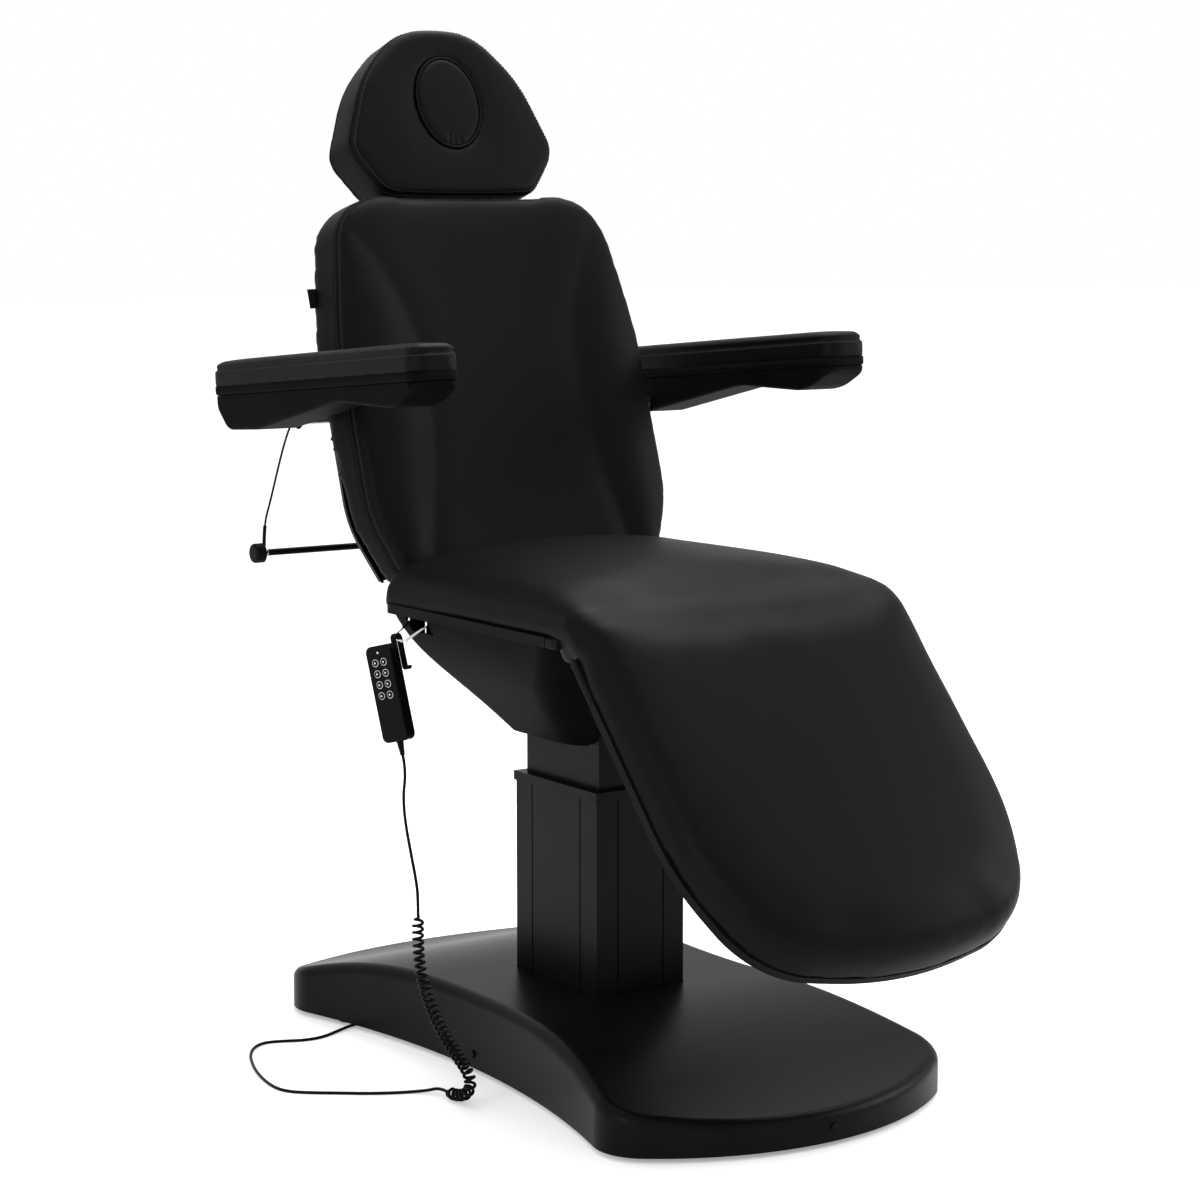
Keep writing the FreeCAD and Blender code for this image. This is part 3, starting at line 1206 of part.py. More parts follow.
arch_y = half_d + S.hook_thickness + S.hook_arch
tail_y = arch_y + S.hook_arch
hook = strip(half_d, S.hook_foot_z, S.hook_arch_z).multiFuse([
    half_ring(arch_y, S.hook_arch_z, S.hook_arch, True),
    strip(tail_y, S.hook_tail_z, S.hook_arch_z),
    half_ring(tail_y + S.hook_thickness + S.hook_curl, S.hook_tail_z, S.hook_curl, False),
])
publish_hung(hook.removeSplitter(), "handset_hook")


def rounded_route(points, reach, least=0):
    """Straight runs joined by tangent arcs; `reach` is the share of the shorter run each arc uses."""
    edges = []
    radii = []
    start = points[0]
    for before, corner, after in zip(points, points[1:], points[2:]):
        back, on = before - corner, after - corner
        used = reach * min(back.Length, on.Length) if reach else least
        half_turn = (math.pi - back.getAngle(on)) / 2
        radii.append(used / math.tan(half_turn))
        enter = corner + back.normalize() * used
        leave = corner + on.normalize() * used
        edges.append(Part.LineSegment(start, enter).toShape())
        edges.append(tangent_arc(enter, back * -1, leave))
        start = leave
    edges.append(Part.LineSegment(start, points[-1]).toShape())
    return edges, radii


def swept(edges, radius):
    """A round tube along joined edges."""
    wire = Part.Wire(edges)
    first = edges[0].Vertexes[0].Point
    heading = edges[0].tangentAt(edges[0].FirstParameter)
    profile = Part.Wire([Part.Circle(first, heading, radius).toShape()])
    return wire.makePipeShell([profile], True, False)


def corded(label, routes, radius, reach=0.45):
    """A cord of straight runs and arcs along each route; prints its least radius and its volume's check."""
    tubes = []
    for route in routes:
        edges, radii = rounded_route([V(*point) for point in route], reach)
        tubes.append(swept(edges, radius))
        length = sum(edge.Length for edge in edges)
        share = tubes[-1].Volume / (math.pi * radius ** 2 * length)
        print(label, "length", round(length), "least radius", round(min(radii), 1), "volume share", round(share, 4))
    publish(solid(Part.makeCompound(tubes) if len(tubes) > 1 else tubes[0]), label)


# The wire the handset hangs from
hanger_top = -S.seat_half_width + S.hanger_in
hanger_side = -S.seat_half_width - S.hanger_out
wire_route = [
    V(hanger_top, S.hanger_y + S.hanger_span / 2, S.board_z),
    V(hanger_top, S.hanger_y + S.hanger_span / 2, S.board_z - 5 * S.hanger_radius),
    V(hanger_side, S.hanger_y + S.hanger_bar / 2, S.hanger_z + S.hanger_radius),
    V(hanger_side, S.hanger_y - S.hanger_bar / 2, S.hanger_z - S.hanger_radius),
    V(hanger_top, S.hanger_y - S.hanger_span / 2, S.board_z - 5 * S.hanger_radius),
    V(hanger_top, S.hanger_y - S.hanger_span / 2, S.board_z),
]
publish(solid(swept(rounded_route(wire_route, 0, S.hanger_bend)[0], S.hanger_radius)), "handset_hanger")

# Handset cord: smooth drop from the boot, curled stretch down to the floor, smooth stretch to the gland
cord_start = hung(0, 0, -half_l - S.boot_length)
cord_down = HUNG.multVec(V(0, 0, -1))
curl_line = [
    (-330, 8, 262), (-330, 9, 226), (-330, 6, 190), (-331, -15, 142), (-333, -62, 98), (-335, -112, 70),
    (-336.5, -141, 55), (-337.5, -150, 38), (-338.5, -140, 21), (-340, -116, 12.4), (-341, -92, 11.5),
]
centre_line = Part.BSplineCurve()
centre_line.interpolate(Points=[V(*point) for point in curl_line], InitialTangent=V(0, 0, -1), FinalTangent=V(0, 1, 0))
curl_top = centre_line.tangent(centre_line.FirstParameter)[0]
curl_exit = centre_line.tangent(centre_line.LastParameter)[0]
straight = 2 * S.cord_radius
curl_start = V(*curl_line[0]) - curl_top * straight
cord_end = V(*curl_line[-1]) + curl_exit * straight
drop_route = [
    tuple(cord_start), tuple(cord_start + cord_down * S.cord_boot_run), (-330, 50, 440), (-331, 42, 400), (-332, 24, 355),
    (-331, 12, 318), tuple(curl_start - curl_top * S.cord_curl_run), tuple(curl_start),
]
corded("handset_cord_drop", [drop_route], S.cord_radius)

turn_length = centre_line.length() / S.curl_turns
steps = int(4 * S.curl_turns)
across = V(1, 0, 0)


def helix_point(step):
    """Place on the curl; its radius grows from nothing over the first turn and fades over the last."""
    along = centre_line.parameterAtDistance(max(0.0, min(step, steps)) * centre_line.length() / steps)
    heading = centre_line.tangent(along)[0]
    side = (across - heading * across.dot(heading)).normalize()
    ramp = min(1.0, max(0.0, min(step, steps - step) / 4))
    spread = S.curl_radius * ramp * ramp * (3 - 2 * ramp)
    angle = step * math.pi / 2
    tip = side * (spread * math.cos(angle)) + heading.cross(side) * (spread * math.sin(angle))
    return centre_line.value(along) + tip


def biarc(start, leaving, end, arriving):
    """Two tangent arcs between two places with given headings."""
    span = end - start
    k = 2 * (1 - leaving.dot(arriving))
    b = span.dot(leaving + arriving)
    reach = (math.sqrt(b * b + k * span.dot(span)) - b) / k
    middle = (start + leaving * reach + end - arriving * reach) * 0.5
    onwards = ((end - arriving * reach) - (start + leaving * reach)).normalize()
    return [tangent_arc(start, leaving, middle), tangent_arc(middle, onwards, end)]


nudge = 0.01
places = [helix_point(step) for step in range(steps + 1)]
headings = [(helix_point(step + nudge) - helix_point(step - nudge)).normalize() for step in range(1, steps)]
headings = [curl_top] + headings + [curl_exit]
curl_edges = [Part.LineSegment(curl_start, places[0]).toShape()]
for step in range(steps):
    curl_edges += biarc(places[step], headings[step], places[step + 1], headings[step + 1])
curl_edges.append(Part.LineSegment(places[-1], cord_end).toShape())
bead_step = S.cord_radius
curl_length = sum(edge.Length for edge in curl_edges)
beads = Part.Wire(curl_edges).discretize(Number=int(curl_length / bead_step))
apart = int(6 * S.cord_radius / bead_step)
self_gap = min((a - b).Length for i, a in enumerate(beads) for b in beads[i + apart:i + 20 * apart])
self_gap -= 2 * S.cord_radius
curl = swept(curl_edges, S.cord_radius)
print("handset_cord_curl length", round(curl_length), "least self gap", round(self_gap, 2),
      "volume share", round(curl.Volume / (math.pi * S.cord_radius ** 2 * curl_length), 4))
publish(solid(curl), "handset_cord_curl")

floor_z = S.cord_radius + 0.1
floor_route = [
    tuple(cord_end), tuple(cord_end + curl_exit * S.cord_floor_run), (-352, -52, 5), (-371, -38, floor_z), (-398, -26, floor_z),
    (-431, -7, floor_z), (-466, 20, floor_z), (-497, 43, floor_z), (-522, 65, floor_z), (-532, 90, floor_z),
    (-531, 122, floor_z), (-525, 157, floor_z), (-516, 192, floor_z), (-504, 227, floor_z), (-485, 272, floor_z),
    (-460, 308, floor_z), (-432, 324, floor_z), (-400, 312, floor_z), (-372, 298, floor_z), (-340, 297, floor_z),
    (-308, 312, floor_z), (S.gland_x - 32, S.gland_y, S.gland_z), (S.gland_x, S.gland_y, S.gland_z),
]
corded("handset_cord_floor", [floor_route], S.cord_radius)
publish(box("gland_length", "gland_width", "gland_height",
            ("gland_x + gland_length / 2", "foot_y - foot_radius - gland_width / 2", "1")), "cord_gland")

# Paper roll bar hung on two cords from the arm axles
arm_y, arm_z = arm_spot
bar_top = S.bar_z + S.bar_radius
bar_end = S.bar_half_length - 3
bar_cords = []
for way in (-1, 1):
    bar_cords.append([
        (way * S.bar_cord_x, arm_y + S.axle_radius, arm_z), (way * S.bar_cord_x, arm_y + S.axle_radius + S.bar_cord_top_run, arm_z),
        (way * 330.5, 399, 985), (way * 331.5, 420, 950), (way * 333, 441, 905), (way * 335.5, 458, 862),
        (way * bar_end, S.bar_y, bar_top + S.bar_cord_foot_run), (way * bar_end, S.bar_y, bar_top),
    ])
corded("roll_bar_cords", bar_cords, S.bar_cord_radius)
publish(rod("bar_radius", "2 * bar_half_length", ("-bar_half_length", "bar_y", "bar_z"), "x"), "roll_bar")
knobs = [Part.makeCylinder(S.knob_radius, S.knob_length, V(way * S.bar_half_length, S.bar_y, S.bar_z), V(way, 0, 0))
         for way in (-1, 1)]
knobs = [knob.makeFillet(S.knob_length / 4, edges_where(knob, lambda e, m: True)[:1]) for knob in knobs]
publish(solid(Part.makeCompound(knobs)), "roll_bar_knobs")

doc.recompute()
broken = [obj.Name for obj in doc.Objects if "Invalid" in obj.State or "Error" in obj.State]
broken += [obj.Label for obj in PARTS if obj.Shape.isNull() or not obj.Shape.isValid()]
if broken:
    raise RuntimeError("pieces that failed: " + ", ".join(broken))
os.makedirs("parts", exist_ok=True)
for obj in PARTS:
    obj.Shape.exportStep(f"parts/{obj.Label}.step")
    print(obj.Label, len(obj.Shape.Solids), round(obj.Shape.Volume / 1000), "cm3", obj.Shape.BoundBox)
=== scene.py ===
# %% [markdown]
# # An electric treatment chair
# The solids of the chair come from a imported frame: every steel, plastic and wooden piece is already
# there, in metres, with the floor at z = 0 and the sitter facing -Y. This lesson dresses them. Soft
# pieces are made again as upholstery, cords as real lengths of cord, and every surface gets the
# finish of its material.

# %% Load the frame
import bmesh
import bpy
import json
import math
from mathutils import Matrix, Vector
from mathutils.bvhtree import BVHTree
from mathutils.kdtree import KDTree


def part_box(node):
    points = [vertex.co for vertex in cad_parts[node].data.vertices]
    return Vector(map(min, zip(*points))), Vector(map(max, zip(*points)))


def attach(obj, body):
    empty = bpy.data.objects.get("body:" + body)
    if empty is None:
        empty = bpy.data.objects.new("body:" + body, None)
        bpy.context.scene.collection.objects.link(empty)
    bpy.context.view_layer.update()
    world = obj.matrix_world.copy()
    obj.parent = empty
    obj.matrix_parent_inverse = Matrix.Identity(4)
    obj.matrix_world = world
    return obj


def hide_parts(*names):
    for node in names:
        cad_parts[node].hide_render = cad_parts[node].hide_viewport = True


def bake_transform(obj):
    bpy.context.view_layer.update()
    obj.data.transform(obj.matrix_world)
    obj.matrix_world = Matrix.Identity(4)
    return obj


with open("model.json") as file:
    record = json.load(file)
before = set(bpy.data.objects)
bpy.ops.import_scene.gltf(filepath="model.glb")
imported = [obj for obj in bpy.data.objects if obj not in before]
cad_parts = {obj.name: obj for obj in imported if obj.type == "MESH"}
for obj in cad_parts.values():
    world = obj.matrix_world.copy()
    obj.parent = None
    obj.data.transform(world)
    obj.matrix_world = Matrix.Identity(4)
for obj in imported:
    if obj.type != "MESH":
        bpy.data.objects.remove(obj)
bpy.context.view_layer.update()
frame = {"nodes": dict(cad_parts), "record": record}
nodes = frame["nodes"]
print("CAD nodes:", len(nodes))

# %% [markdown]
# The column stands a little behind the middle of the chair's box. Places measured from the column's
# foot, in millimetres, are moved by that distance and turned to metres by one small function. Four
# groups of the chair have frames of their own: the leg rest, the back, the arms and the hand control.

# %% Places on the chair
COLUMN_Y = 91.5


def at(x, y, z):
    """A place in millimetres from the column's foot, as metres in the chair's frame."""
    return Vector((x, y + COLUMN_Y, z)) / 1000


def leaning(y, z, degrees):
    """A group's frame: turned about X by an angle, with its pivot at (y, z)."""
    return Matrix.Translation(at(0, y, z)) @ Matrix.Rotation(math.radians(degrees), 4, "X")


BACK = leaning(248, 742, -17.85)
LEG = leaning(-341, 700, 47.9)
ARM = leaning(351.27, 1003.96, -4.77)
HANDSET = (
    Matrix.Translation(at(-339, 70, 599))
    @ Matrix.Rotation(math.radians(-67), 4, "Z")
    @ Matrix.Rotation(math.radians(-13.4), 4, "Y")
)


def on(group, x, y, z):
    """A place in a group's own millimetres, in the chair's frame."""
    return group @ (Vector((x, y, z)) / 1000)


# %% [markdown]
# The camera stands where the photographer stood: to the sitter's right and in front, at about chest
# height, with a long lens that keeps the uprights straight. Its place was worked out from the
# vanishing lines of the base, the seat and the arm rests.

# %% Camera
lens = bpy.data.cameras.new("camera")
lens.sensor_fit = "HORIZONTAL"
lens.sensor_width = 36
lens.lens = 86.18
camera = bpy.data.objects.new("camera", lens)
camera.location = at(-2522.787, -3690.024, 1319.948)
camera.rotation_euler = (math.radians(90 - 7.586), 0, math.radians(-34.376))
bpy.context.collection.objects.link(camera)
bpy.context.scene.camera = camera
bpy.context.scene.view_settings.view_transform = "Standard"
print("camera at", [round(v, 3) for v in camera.location])


# %% [markdown]
# Colours are written as the sRGB values one reads off a screen, and one function turns them to the
# linear numbers that the renderer wants. Another adds a shader node with its settings and links.

# %% Colour and node helpers
def colour(text):
    """A linear RGBA colour from an sRGB hex value."""
    parts = [int(text[i:i + 2], 16) / 255 for i in (1, 3, 5)]
    return [c / 12.92 if c <= 0.04045 else ((c + 0.055) / 1.055) ** 2.4 for c in parts] + [1]


def add(tree, kind, values=(), links=(), **settings):
    """One node, with its settings, its sockets' values and its incoming links."""
    made = tree.nodes.new(kind)
    for name, value in settings.items():
        setattr(made, name, value)
    for name, value in dict(values).items():
        made.inputs[name].default_value = value
    for name, socket in dict(links).items():
        tree.links.new(socket, made.inputs[name])
    return made


def new_material(name):
    """An empty material, its node tree and its shader."""
    material = bpy.data.materials.new(name)
    material.use_nodes = True
    return material, material.node_tree, material.node_tree.nodes["Principled BSDF"]


# %% [markdown]
# The upholstery is soft PVC-coated fabric, embossed with a fine leather grain. It gives the eye broad,
# gentle highlights with a slightly mottled edge. The real pebbles are about 1 mm across, which is less
# than a pixel here, so they are drawn at 2.2 mm. A slow variation of the gloss keeps the large panels
# from looking sprayed.

# %% Upholstery finish
vinyl, tree, shader = new_material("upholstery_pvc_leather")
place = add(tree, "ShaderNodeTexCoord").outputs["Object"]
pebbles = add(tree, "ShaderNodeTexVoronoi", {"Scale": 1000 / 2.2, "Randomness": 1.0}, {"Vector": place},
              feature="SMOOTH_F1")
folds = add(tree, "ShaderNodeTexNoise", {"Scale": 1000 / 6.0, "Detail": 4.0, "Roughness": 0.6},
            {"Vector": place})
slow = add(tree, "ShaderNodeTexNoise", {"Scale": 1000 / 130.0, "Detail": 2.0}, {"Vector": place})
relief = add(tree, "ShaderNodeMath", links={0: pebbles.outputs["Distance"], 1: folds.outputs["Fac"]},
             operation="ADD")
bump = add(tree, "ShaderNodeBump", {"Strength": 0.16, "Distance": 0.0006}, {"Height": relief.outputs[0]})
tone = add(tree, "ShaderNodeValToRGB", links={"Fac": pebbles.outputs["Distance"]})
tone.color_ramp.elements[0].color = colour("#0a0a0b")
tone.color_ramp.elements[1].color = colour("#060606")
gloss = add(tree, "ShaderNodeMapRange", {"To Min": 0.42, "To Max": 0.52}, {"Value": slow.outputs["Fac"]})
tree.links.new(tone.outputs["Color"], shader.inputs["Base Color"])
tree.links.new(gloss.outputs["Result"], shader.inputs["Roughness"])
tree.links.new(bump.outputs["Normal"], shader.inputs["Normal"])
shader.inputs["Specular IOR Level"].default_value = 0.045
print("made", vinyl.name)


# %% [markdown]
# The shells are moulded ABS with a spark-eroded texture, the steel is powder-coated, and the small
# parts are rubber, nylon and plated steel. They share one plan: a colour that wanders a little, a
# gloss that wanders with it, and a fine relief whose cell size is the real texture's.

# %% Moulded, coated and plated finishes
def finish(name, dark, light, rough, cell_mm, depth_mm, metallic=0.0, shine=0.05):
    """A surface with a grain of cell_mm, whose colour and gloss drift between two near values."""
    material, tree, shader = new_material(name)
    place = add(tree, "ShaderNodeTexCoord").outputs["Object"]
    grain = add(tree, "ShaderNodeTexNoise", {"Scale": 1000 / cell_mm, "Detail": 3.0, "Roughness": 0.55},
                {"Vector": place})
    drift = add(tree, "ShaderNodeTexNoise", {"Scale": 1000 / 90.0, "Detail": 2.0}, {"Vector": place})
    tone = add(tree, "ShaderNodeValToRGB", links={"Fac": drift.outputs["Fac"]})
    tone.color_ramp.elements[0].position, tone.color_ramp.elements[1].position = 0.35, 0.65
    tone.color_ramp.elements[0].color, tone.color_ramp.elements[1].color = colour(dark), colour(light)
    gloss = add(tree, "ShaderNodeMapRange", {"To Min": rough - 0.05, "To Max": rough + 0.05},
                {"Value": grain.outputs["Fac"]})
    bump = add(tree, "ShaderNodeBump", {"Strength": 0.35, "Distance": depth_mm / 1000},
               {"Height": grain.outputs["Fac"]})
    tree.links.new(tone.outputs["Color"], shader.inputs["Base Color"])
    tree.links.new(gloss.outputs["Result"], shader.inputs["Roughness"])
    tree.links.new(bump.outputs["Normal"], shader.inputs["Normal"])
    shader.inputs["Metallic"].default_value = metallic
    shader.inputs["Specular IOR Level"].default_value = 0.5 if metallic else shine
    return material


abs_shell = finish("moulded_abs_black", "#070708", "#0a0a0a", 0.34, 1.6, 0.2)
abs_matt = finish("moulded_abs_matt", "#070708", "#0a0a0a", 0.62, 1.6, 0.2, shine=0.015)
handset_abs = finish("handset_abs_black", "#070708", "#0a0a0b", 0.40, 1.2, 0.12)
column_coat = finish("powder_coat_black", "#070708", "#0a0a0a", 0.30, 2.4, 0.1)
frame_coat = finish("powder_coat_grey", "#0b0b0c", "#0f0f10", 0.5, 2.0, 0.2)
plywood = finish("birch_plywood_painted", "#080808", "#0b0b0a", 0.6, 1.5, 0.2)
bright_steel = finish("turned_steel", "#b3b3b5", "#c2c2c4", 0.28, 1.2, 0.03, metallic=1.0)
chrome = finish("chromed_steel", "#d6d6d8", "#dededf", 0.08, 6.0, 0.01, metallic=1.0)
nylon = finish("nylon_white", "#d8d7d2", "#e0dfda", 0.5, 2.0, 0.05)
rubber = finish("rubber_black", "#070707", "#0a0a0a", 0.55, 1.2, 0.1)
cord_pvc = finish("cord_pvc_black", "#070708", "#0b0b0c", 0.36, 1.5, 0.04)
motor_case = finish("motor_case_black", "#0a0a0b", "#0d0d0e", 0.45, 1.6, 0.1)
braid = finish("braided_cord_black", "#090909", "#0f0f0f", 0.7, 0.9, 0.3)
thread = finish("bonded_thread_black", "#232325", "#2b2b2d", 0.5, 0.5, 0.05)
mark_white = finish("printed_mark_white", "#c9c9c9", "#d4d4d4", 0.6, 1.0, 0.01)

by_slot = {
    "black_vinyl": vinyl, "black_plastic": abs_shell, "column_paint": column_coat, "frame_paint": frame_coat,
    "board_wood": plywood, "bright_steel": bright_steel, "chrome_plate": chrome, "motor_shell": motor_case,
    "glide_plastic": nylon, "black_rubber": rubber, "button_plastic": handset_abs, "cord_braid": braid,
}
for part in frame["record"]["subparts"]:
    node = nodes[part["node"]]
    node.data.materials.clear()
    node.data.materials.append(by_slot[part["material_slot"]])
for name, coat in (("handset_case", handset_abs), ("handset_boot", rubber), ("cover_screws", frame_coat),
                   ("roll_bar", column_coat), ("roll_bar_knobs", rubber), ("seat_cover", abs_matt)):
    nodes[name].data.materials[0] = coat
print("finishes:", len(bpy.data.materials))


# %% [markdown]
# ## Cords
# The hand control's cord is shown from end to end: a smooth drop, a curled stretch that takes up the
# chair's travel, and a smooth stretch along the floor to a gland under the base. Each is a smooth
# spline through the same route points as the solids. The curled stretch follows the travel of the
# column and is made as a mesh tube.

# %% Cord helpers
def spline(name, points, kind="NURBS"):
    """A curve with these places as its control points."""
    data = bpy.data.curves.new(name, "CURVE")
    data.dimensions = "3D"
    line = data.splines.new(kind)
    line.points.add(len(points) - 1)
    for knot, place in zip(line.points, points):
        knot.co = (*place, 1)
    if kind == "NURBS":
        line.order_u = 3
        line.use_endpoint_u = True
    line.resolution_u = 12
    data.use_fill_caps = True
    made = bpy.data.objects.new(name, data)
    bpy.context.collection.objects.link(made)
    return made


def line_points(curve):
    """Places along a curve that has no bevel."""
    bpy.context.view_layer.update()
    mesh = bpy.data.meshes.new_from_object(curve)
    places = [v.co.copy() for v in mesh.vertices]
    bpy.data.meshes.remove(mesh)
    return places


def length_of(places):
    return sum((b - a).length for a, b in zip(places, places[1:]))


def tube_mesh(name, places, radius, detail=2, closed=False):
    """A closed round tube along places, as a mesh."""
    path = spline(name, places, "POLY")
    path.data.splines[0].use_cyclic_u = closed
    path.data.bevel_depth = radius
    path.data.bevel_resolution = detail
    bpy.context.view_layer.update()
    shape = bmesh.new()
    shape.from_mesh(bpy.data.meshes.new_from_object(path))
    bpy.data.objects.remove(path)
    bmesh.ops.remove_doubles(shape, verts=shape.verts, dist=1e-6)
    return finished(name, shape)


def finished(name, shape, material=None, smooth=True):
    """The bmesh as an object at the origin."""
    bmesh.ops.recalc_face_normals(shape, faces=shape.faces)
    mesh = bpy.data.meshes.new(name)
    shape.to_mesh(mesh)
    shape.free()
    if smooth:
        mesh.polygons.foreach_set("use_smooth", [True] * len(mesh.polygons))
    if material:
        mesh.materials.append(material)
    made = bpy.data.objects.new(name, mesh)
    bpy.context.collection.objects.link(made)
    return made


# %% Floor stretch of the hand control's cord
CORD = 0.005
curl_foot = at(-341, -87, 11.5)
gland_mouth = at(-230, 326, 6)
floor_route = [gland_mouth, at(-262, 326, 6)]
floor_route += [at(x, y, 2.6) for x, y in (
    (-308, 312), (-340, 297), (-372, 298), (-400, 312), (-432, 324), (-460, 308), (-485, 272), (-504, 227),
    (-516, 192), (-525, 157), (-531, 122), (-532, 90), (-522, 65), (-497, 43), (-466, 20), (-431, -7),
    (-398, -26), (-371, -38))]
floor_route += [at(-352, -52, 5), at(-341, -69, 11.5), curl_foot]
floor_cord = spline("handset_cord_floor_run", floor_route)
floor_length = length_of(line_points(floor_cord))
floor_cord.data.bevel_depth = CORD / 2
floor_cord.data.bevel_resolution = 4
floor_cord.data.materials.append(cord_pvc)
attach(floor_cord, "base")
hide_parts("handset_cord_floor")
print("floor stretch", round(floor_length, 3), "m")

# %% [markdown]
# The curls are wound round the middle line of the stretch. Walking along that line, a pointer at right
# angles to it turns steadily, and its tip draws the helix. The pointer grows from nothing over the
# first turn and fades over the last, so the tube runs straight out at both ends.

# %% Curled stretch
CURL_TURNS, CURL_RADIUS, STEPS_PER_TURN = 36, 0.00725, 22
curl_route = [at(*p) for p in (
    (-330, 8, 267), (-330, 8, 262), (-330, 9, 226), (-330, 6, 190), (-331, -15, 142), (-333, -64, 97),
    (-335, -115, 69), (-336.5, -146, 55), (-337.5, -155, 37), (-338.5, -143, 19), (-340, -116, 11.8),
    (-341, -92, 11.5), (-341, -87, 11.5))]
middle = spline("curl_middle", curl_route)
middle.data.splines[0].resolution_u = 24
walk = line_points(middle)
bpy.data.objects.remove(middle)
total = length_of(walk)
lead = CORD
steps = CURL_TURNS * STEPS_PER_TURN
marks = [lead + (total - 2 * lead) * k / steps for k in range(steps + 1)]
helix, gone, i = [walk[0].copy()], 0.0, 0
pointer = Vector((1, 0, 0))
for k, mark in enumerate(marks):
    while i < len(walk) - 2 and gone + (walk[i + 1] - walk[i]).length < mark:
        gone += (walk[i + 1] - walk[i]).length
        i += 1
    heading = (walk[i + 1] - walk[i]).normalized()
    centre = walk[i] + heading * (mark - gone)
    pointer = (pointer - heading * pointer.dot(heading)).normalized()
    ramp = min(1, min(k, steps - k) / STEPS_PER_TURN)
    spread = CURL_RADIUS * ramp * ramp * (3 - 2 * ramp)
    turn = 2 * math.pi * k / STEPS_PER_TURN
    helix.append(centre + (pointer * math.cos(turn) + heading.cross(pointer) * math.sin(turn)) * spread)
helix.append(walk[-1].copy())
helix.reverse()
curl = tube_mesh("handset_cord_curls", helix, CORD / 2, 2)
curl.data.materials.append(cord_pvc)
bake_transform(curl)
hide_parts("handset_cord_curl")
print("curled stretch", round(length_of(helix), 3), "m of cord in", round(total, 3), "m")

# %% [markdown]
# The smooth drop hangs between the curls, which follow the carriage, and the hand control, which can
# be lifted off its hook. Two tubes share it, split at one height: the lower one starts at the curls,
# the upper one ends at the hand control.

# %% Drop from the hand control
DROP_SPLIT = 0.385
boot_tip = on(HANDSET, 0, 0, -97)
boot_way = (HANDSET.to_3x3() @ Vector((0, 0, -1))).normalized()
drop_route = [at(-330, 8, 267), at(-330, 8, 295), at(-331, 12, 318), at(-332, 24, 355), at(-331, 42, 400),
              at(-330, 50, 440), boot_tip + boot_way * 0.025, boot_tip]
hanging = spline("drop_middle", drop_route)
drop_line = line_points(hanging)
bpy.data.objects.remove(hanging)
split = min(range(len(drop_line)), key=lambda k: abs(drop_line[k].z - DROP_SPLIT))
lower = drop_line[:split + 1]
upper = list(reversed(drop_line[split:]))
lower_drop = tube_mesh("handset_cord_drop_low", lower, CORD / 2, 3)
upper_drop = tube_mesh("handset_cord_drop_high", upper, CORD / 2, 3)
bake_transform(lower_drop)
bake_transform(upper_drop)
for tube, path in ((lower_drop, lower), (upper_drop, upper)):
    tube.data.materials.append(cord_pvc)
    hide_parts("handset_cord_drop")
print("drop", round(length_of(drop_line), 3), "m")

# %% [markdown]
# The paper roll bar hangs on two thin cords that leave the arm axles and bow outwards before they
# drop to the bar's ends. Each end has a short sleeve.

# %% Roll bar cords
BAR_CORD = 0.0035
SLEEVE = BAR_CORD * 1.7
for side, name in ((-1, "right"), (1, "left")):
    route = [at(side * x, y, z) for x, y, z in (
        (330, 363.27, 1003.96), (330, 379.27, 1003.96), (330.5, 399, 985), (331.5, 420, 950), (333, 441, 905),
        (335.5, 458, 862), (343, 468, 821.5), (343, 468, 782.5))]
    strand = spline(f"roll_bar_cord_{name}", route)
    bowed = line_points(strand)
    strand.data.bevel_depth = BAR_CORD / 2
    strand.data.bevel_resolution = 4
    strand.data.materials.append(braid)
    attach(strand, "roll_bar")
    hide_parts("roll_bar_cords")
    for end, picked in (("top", bowed[1:9]), ("foot", bowed[-9:-1])):
        sleeve = tube_mesh(f"roll_bar_sleeve_{name}_{end}", picked, SLEEVE / 2, 3)
        sleeve.data.materials.append(rubber)
        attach(sleeve, "roll_bar")
    print("roll bar cord", name, round(length_of(bowed), 3), "m")

# %% [markdown]
# ## Upholstery
# A pad is foam under a sewn cover. Each one starts as a copy of its solid, remeshed to an even skin of
# small squares, drawn in a little, and then blown up by cloth simulation with the underside held, so
# that the cover tightens as a real one does. How far a point may move is capped, and the movement is
# evened out between neighbours, because a stretched cover over firm foam has no wrinkles.

# %% Upholstery helpers
PRESSURE, FRAMES = 4, 20
EVENING_ROUNDS, SKIN_ROUNDS, PAD_ROUNDS = 40, 2, 3


def cad_copy(*names):
    """The named solids' meshes in one bmesh, with their loose triangles joined."""
    shape = bmesh.new()
    for name in names:
        shape.from_mesh(nodes[name].data)
    bmesh.ops.remove_doubles(shape, verts=shape.verts, dist=1e-5)
    return shape


def with_modifier(thing, kind, **settings):
    """Adds a modifier, applies it and leaves the object with the result."""
    step = thing.modifiers.new(kind.lower(), kind)
    for name, value in settings.items():
        setattr(step, name, value)
    bpy.context.view_layer.update()
    mesh = bpy.data.meshes.new_from_object(thing.evaluated_get(bpy.context.evaluated_depsgraph_get()))
    thing.modifiers.clear()
    old, thing.data = thing.data, mesh
    bpy.data.meshes.remove(old)


def even_out(shape, picked, rounds):
    """Moves the picked vertices of a bmesh towards their neighbours' mean."""
    for _ in range(rounds):
        bmesh.ops.smooth_vert(shape, verts=picked, factor=0.5, use_axis_x=True, use_axis_y=True, use_axis_z=True)


def relax(thing, rounds, chosen=None):
    """Smooths the chosen vertices, or all of them."""
    shape = bmesh.new()
    shape.from_mesh(thing.data)
    even_out(shape, [v for v in shape.verts if chosen is None or chosen(v.co)], rounds)
    shape.to_mesh(thing.data)
    shape.free()


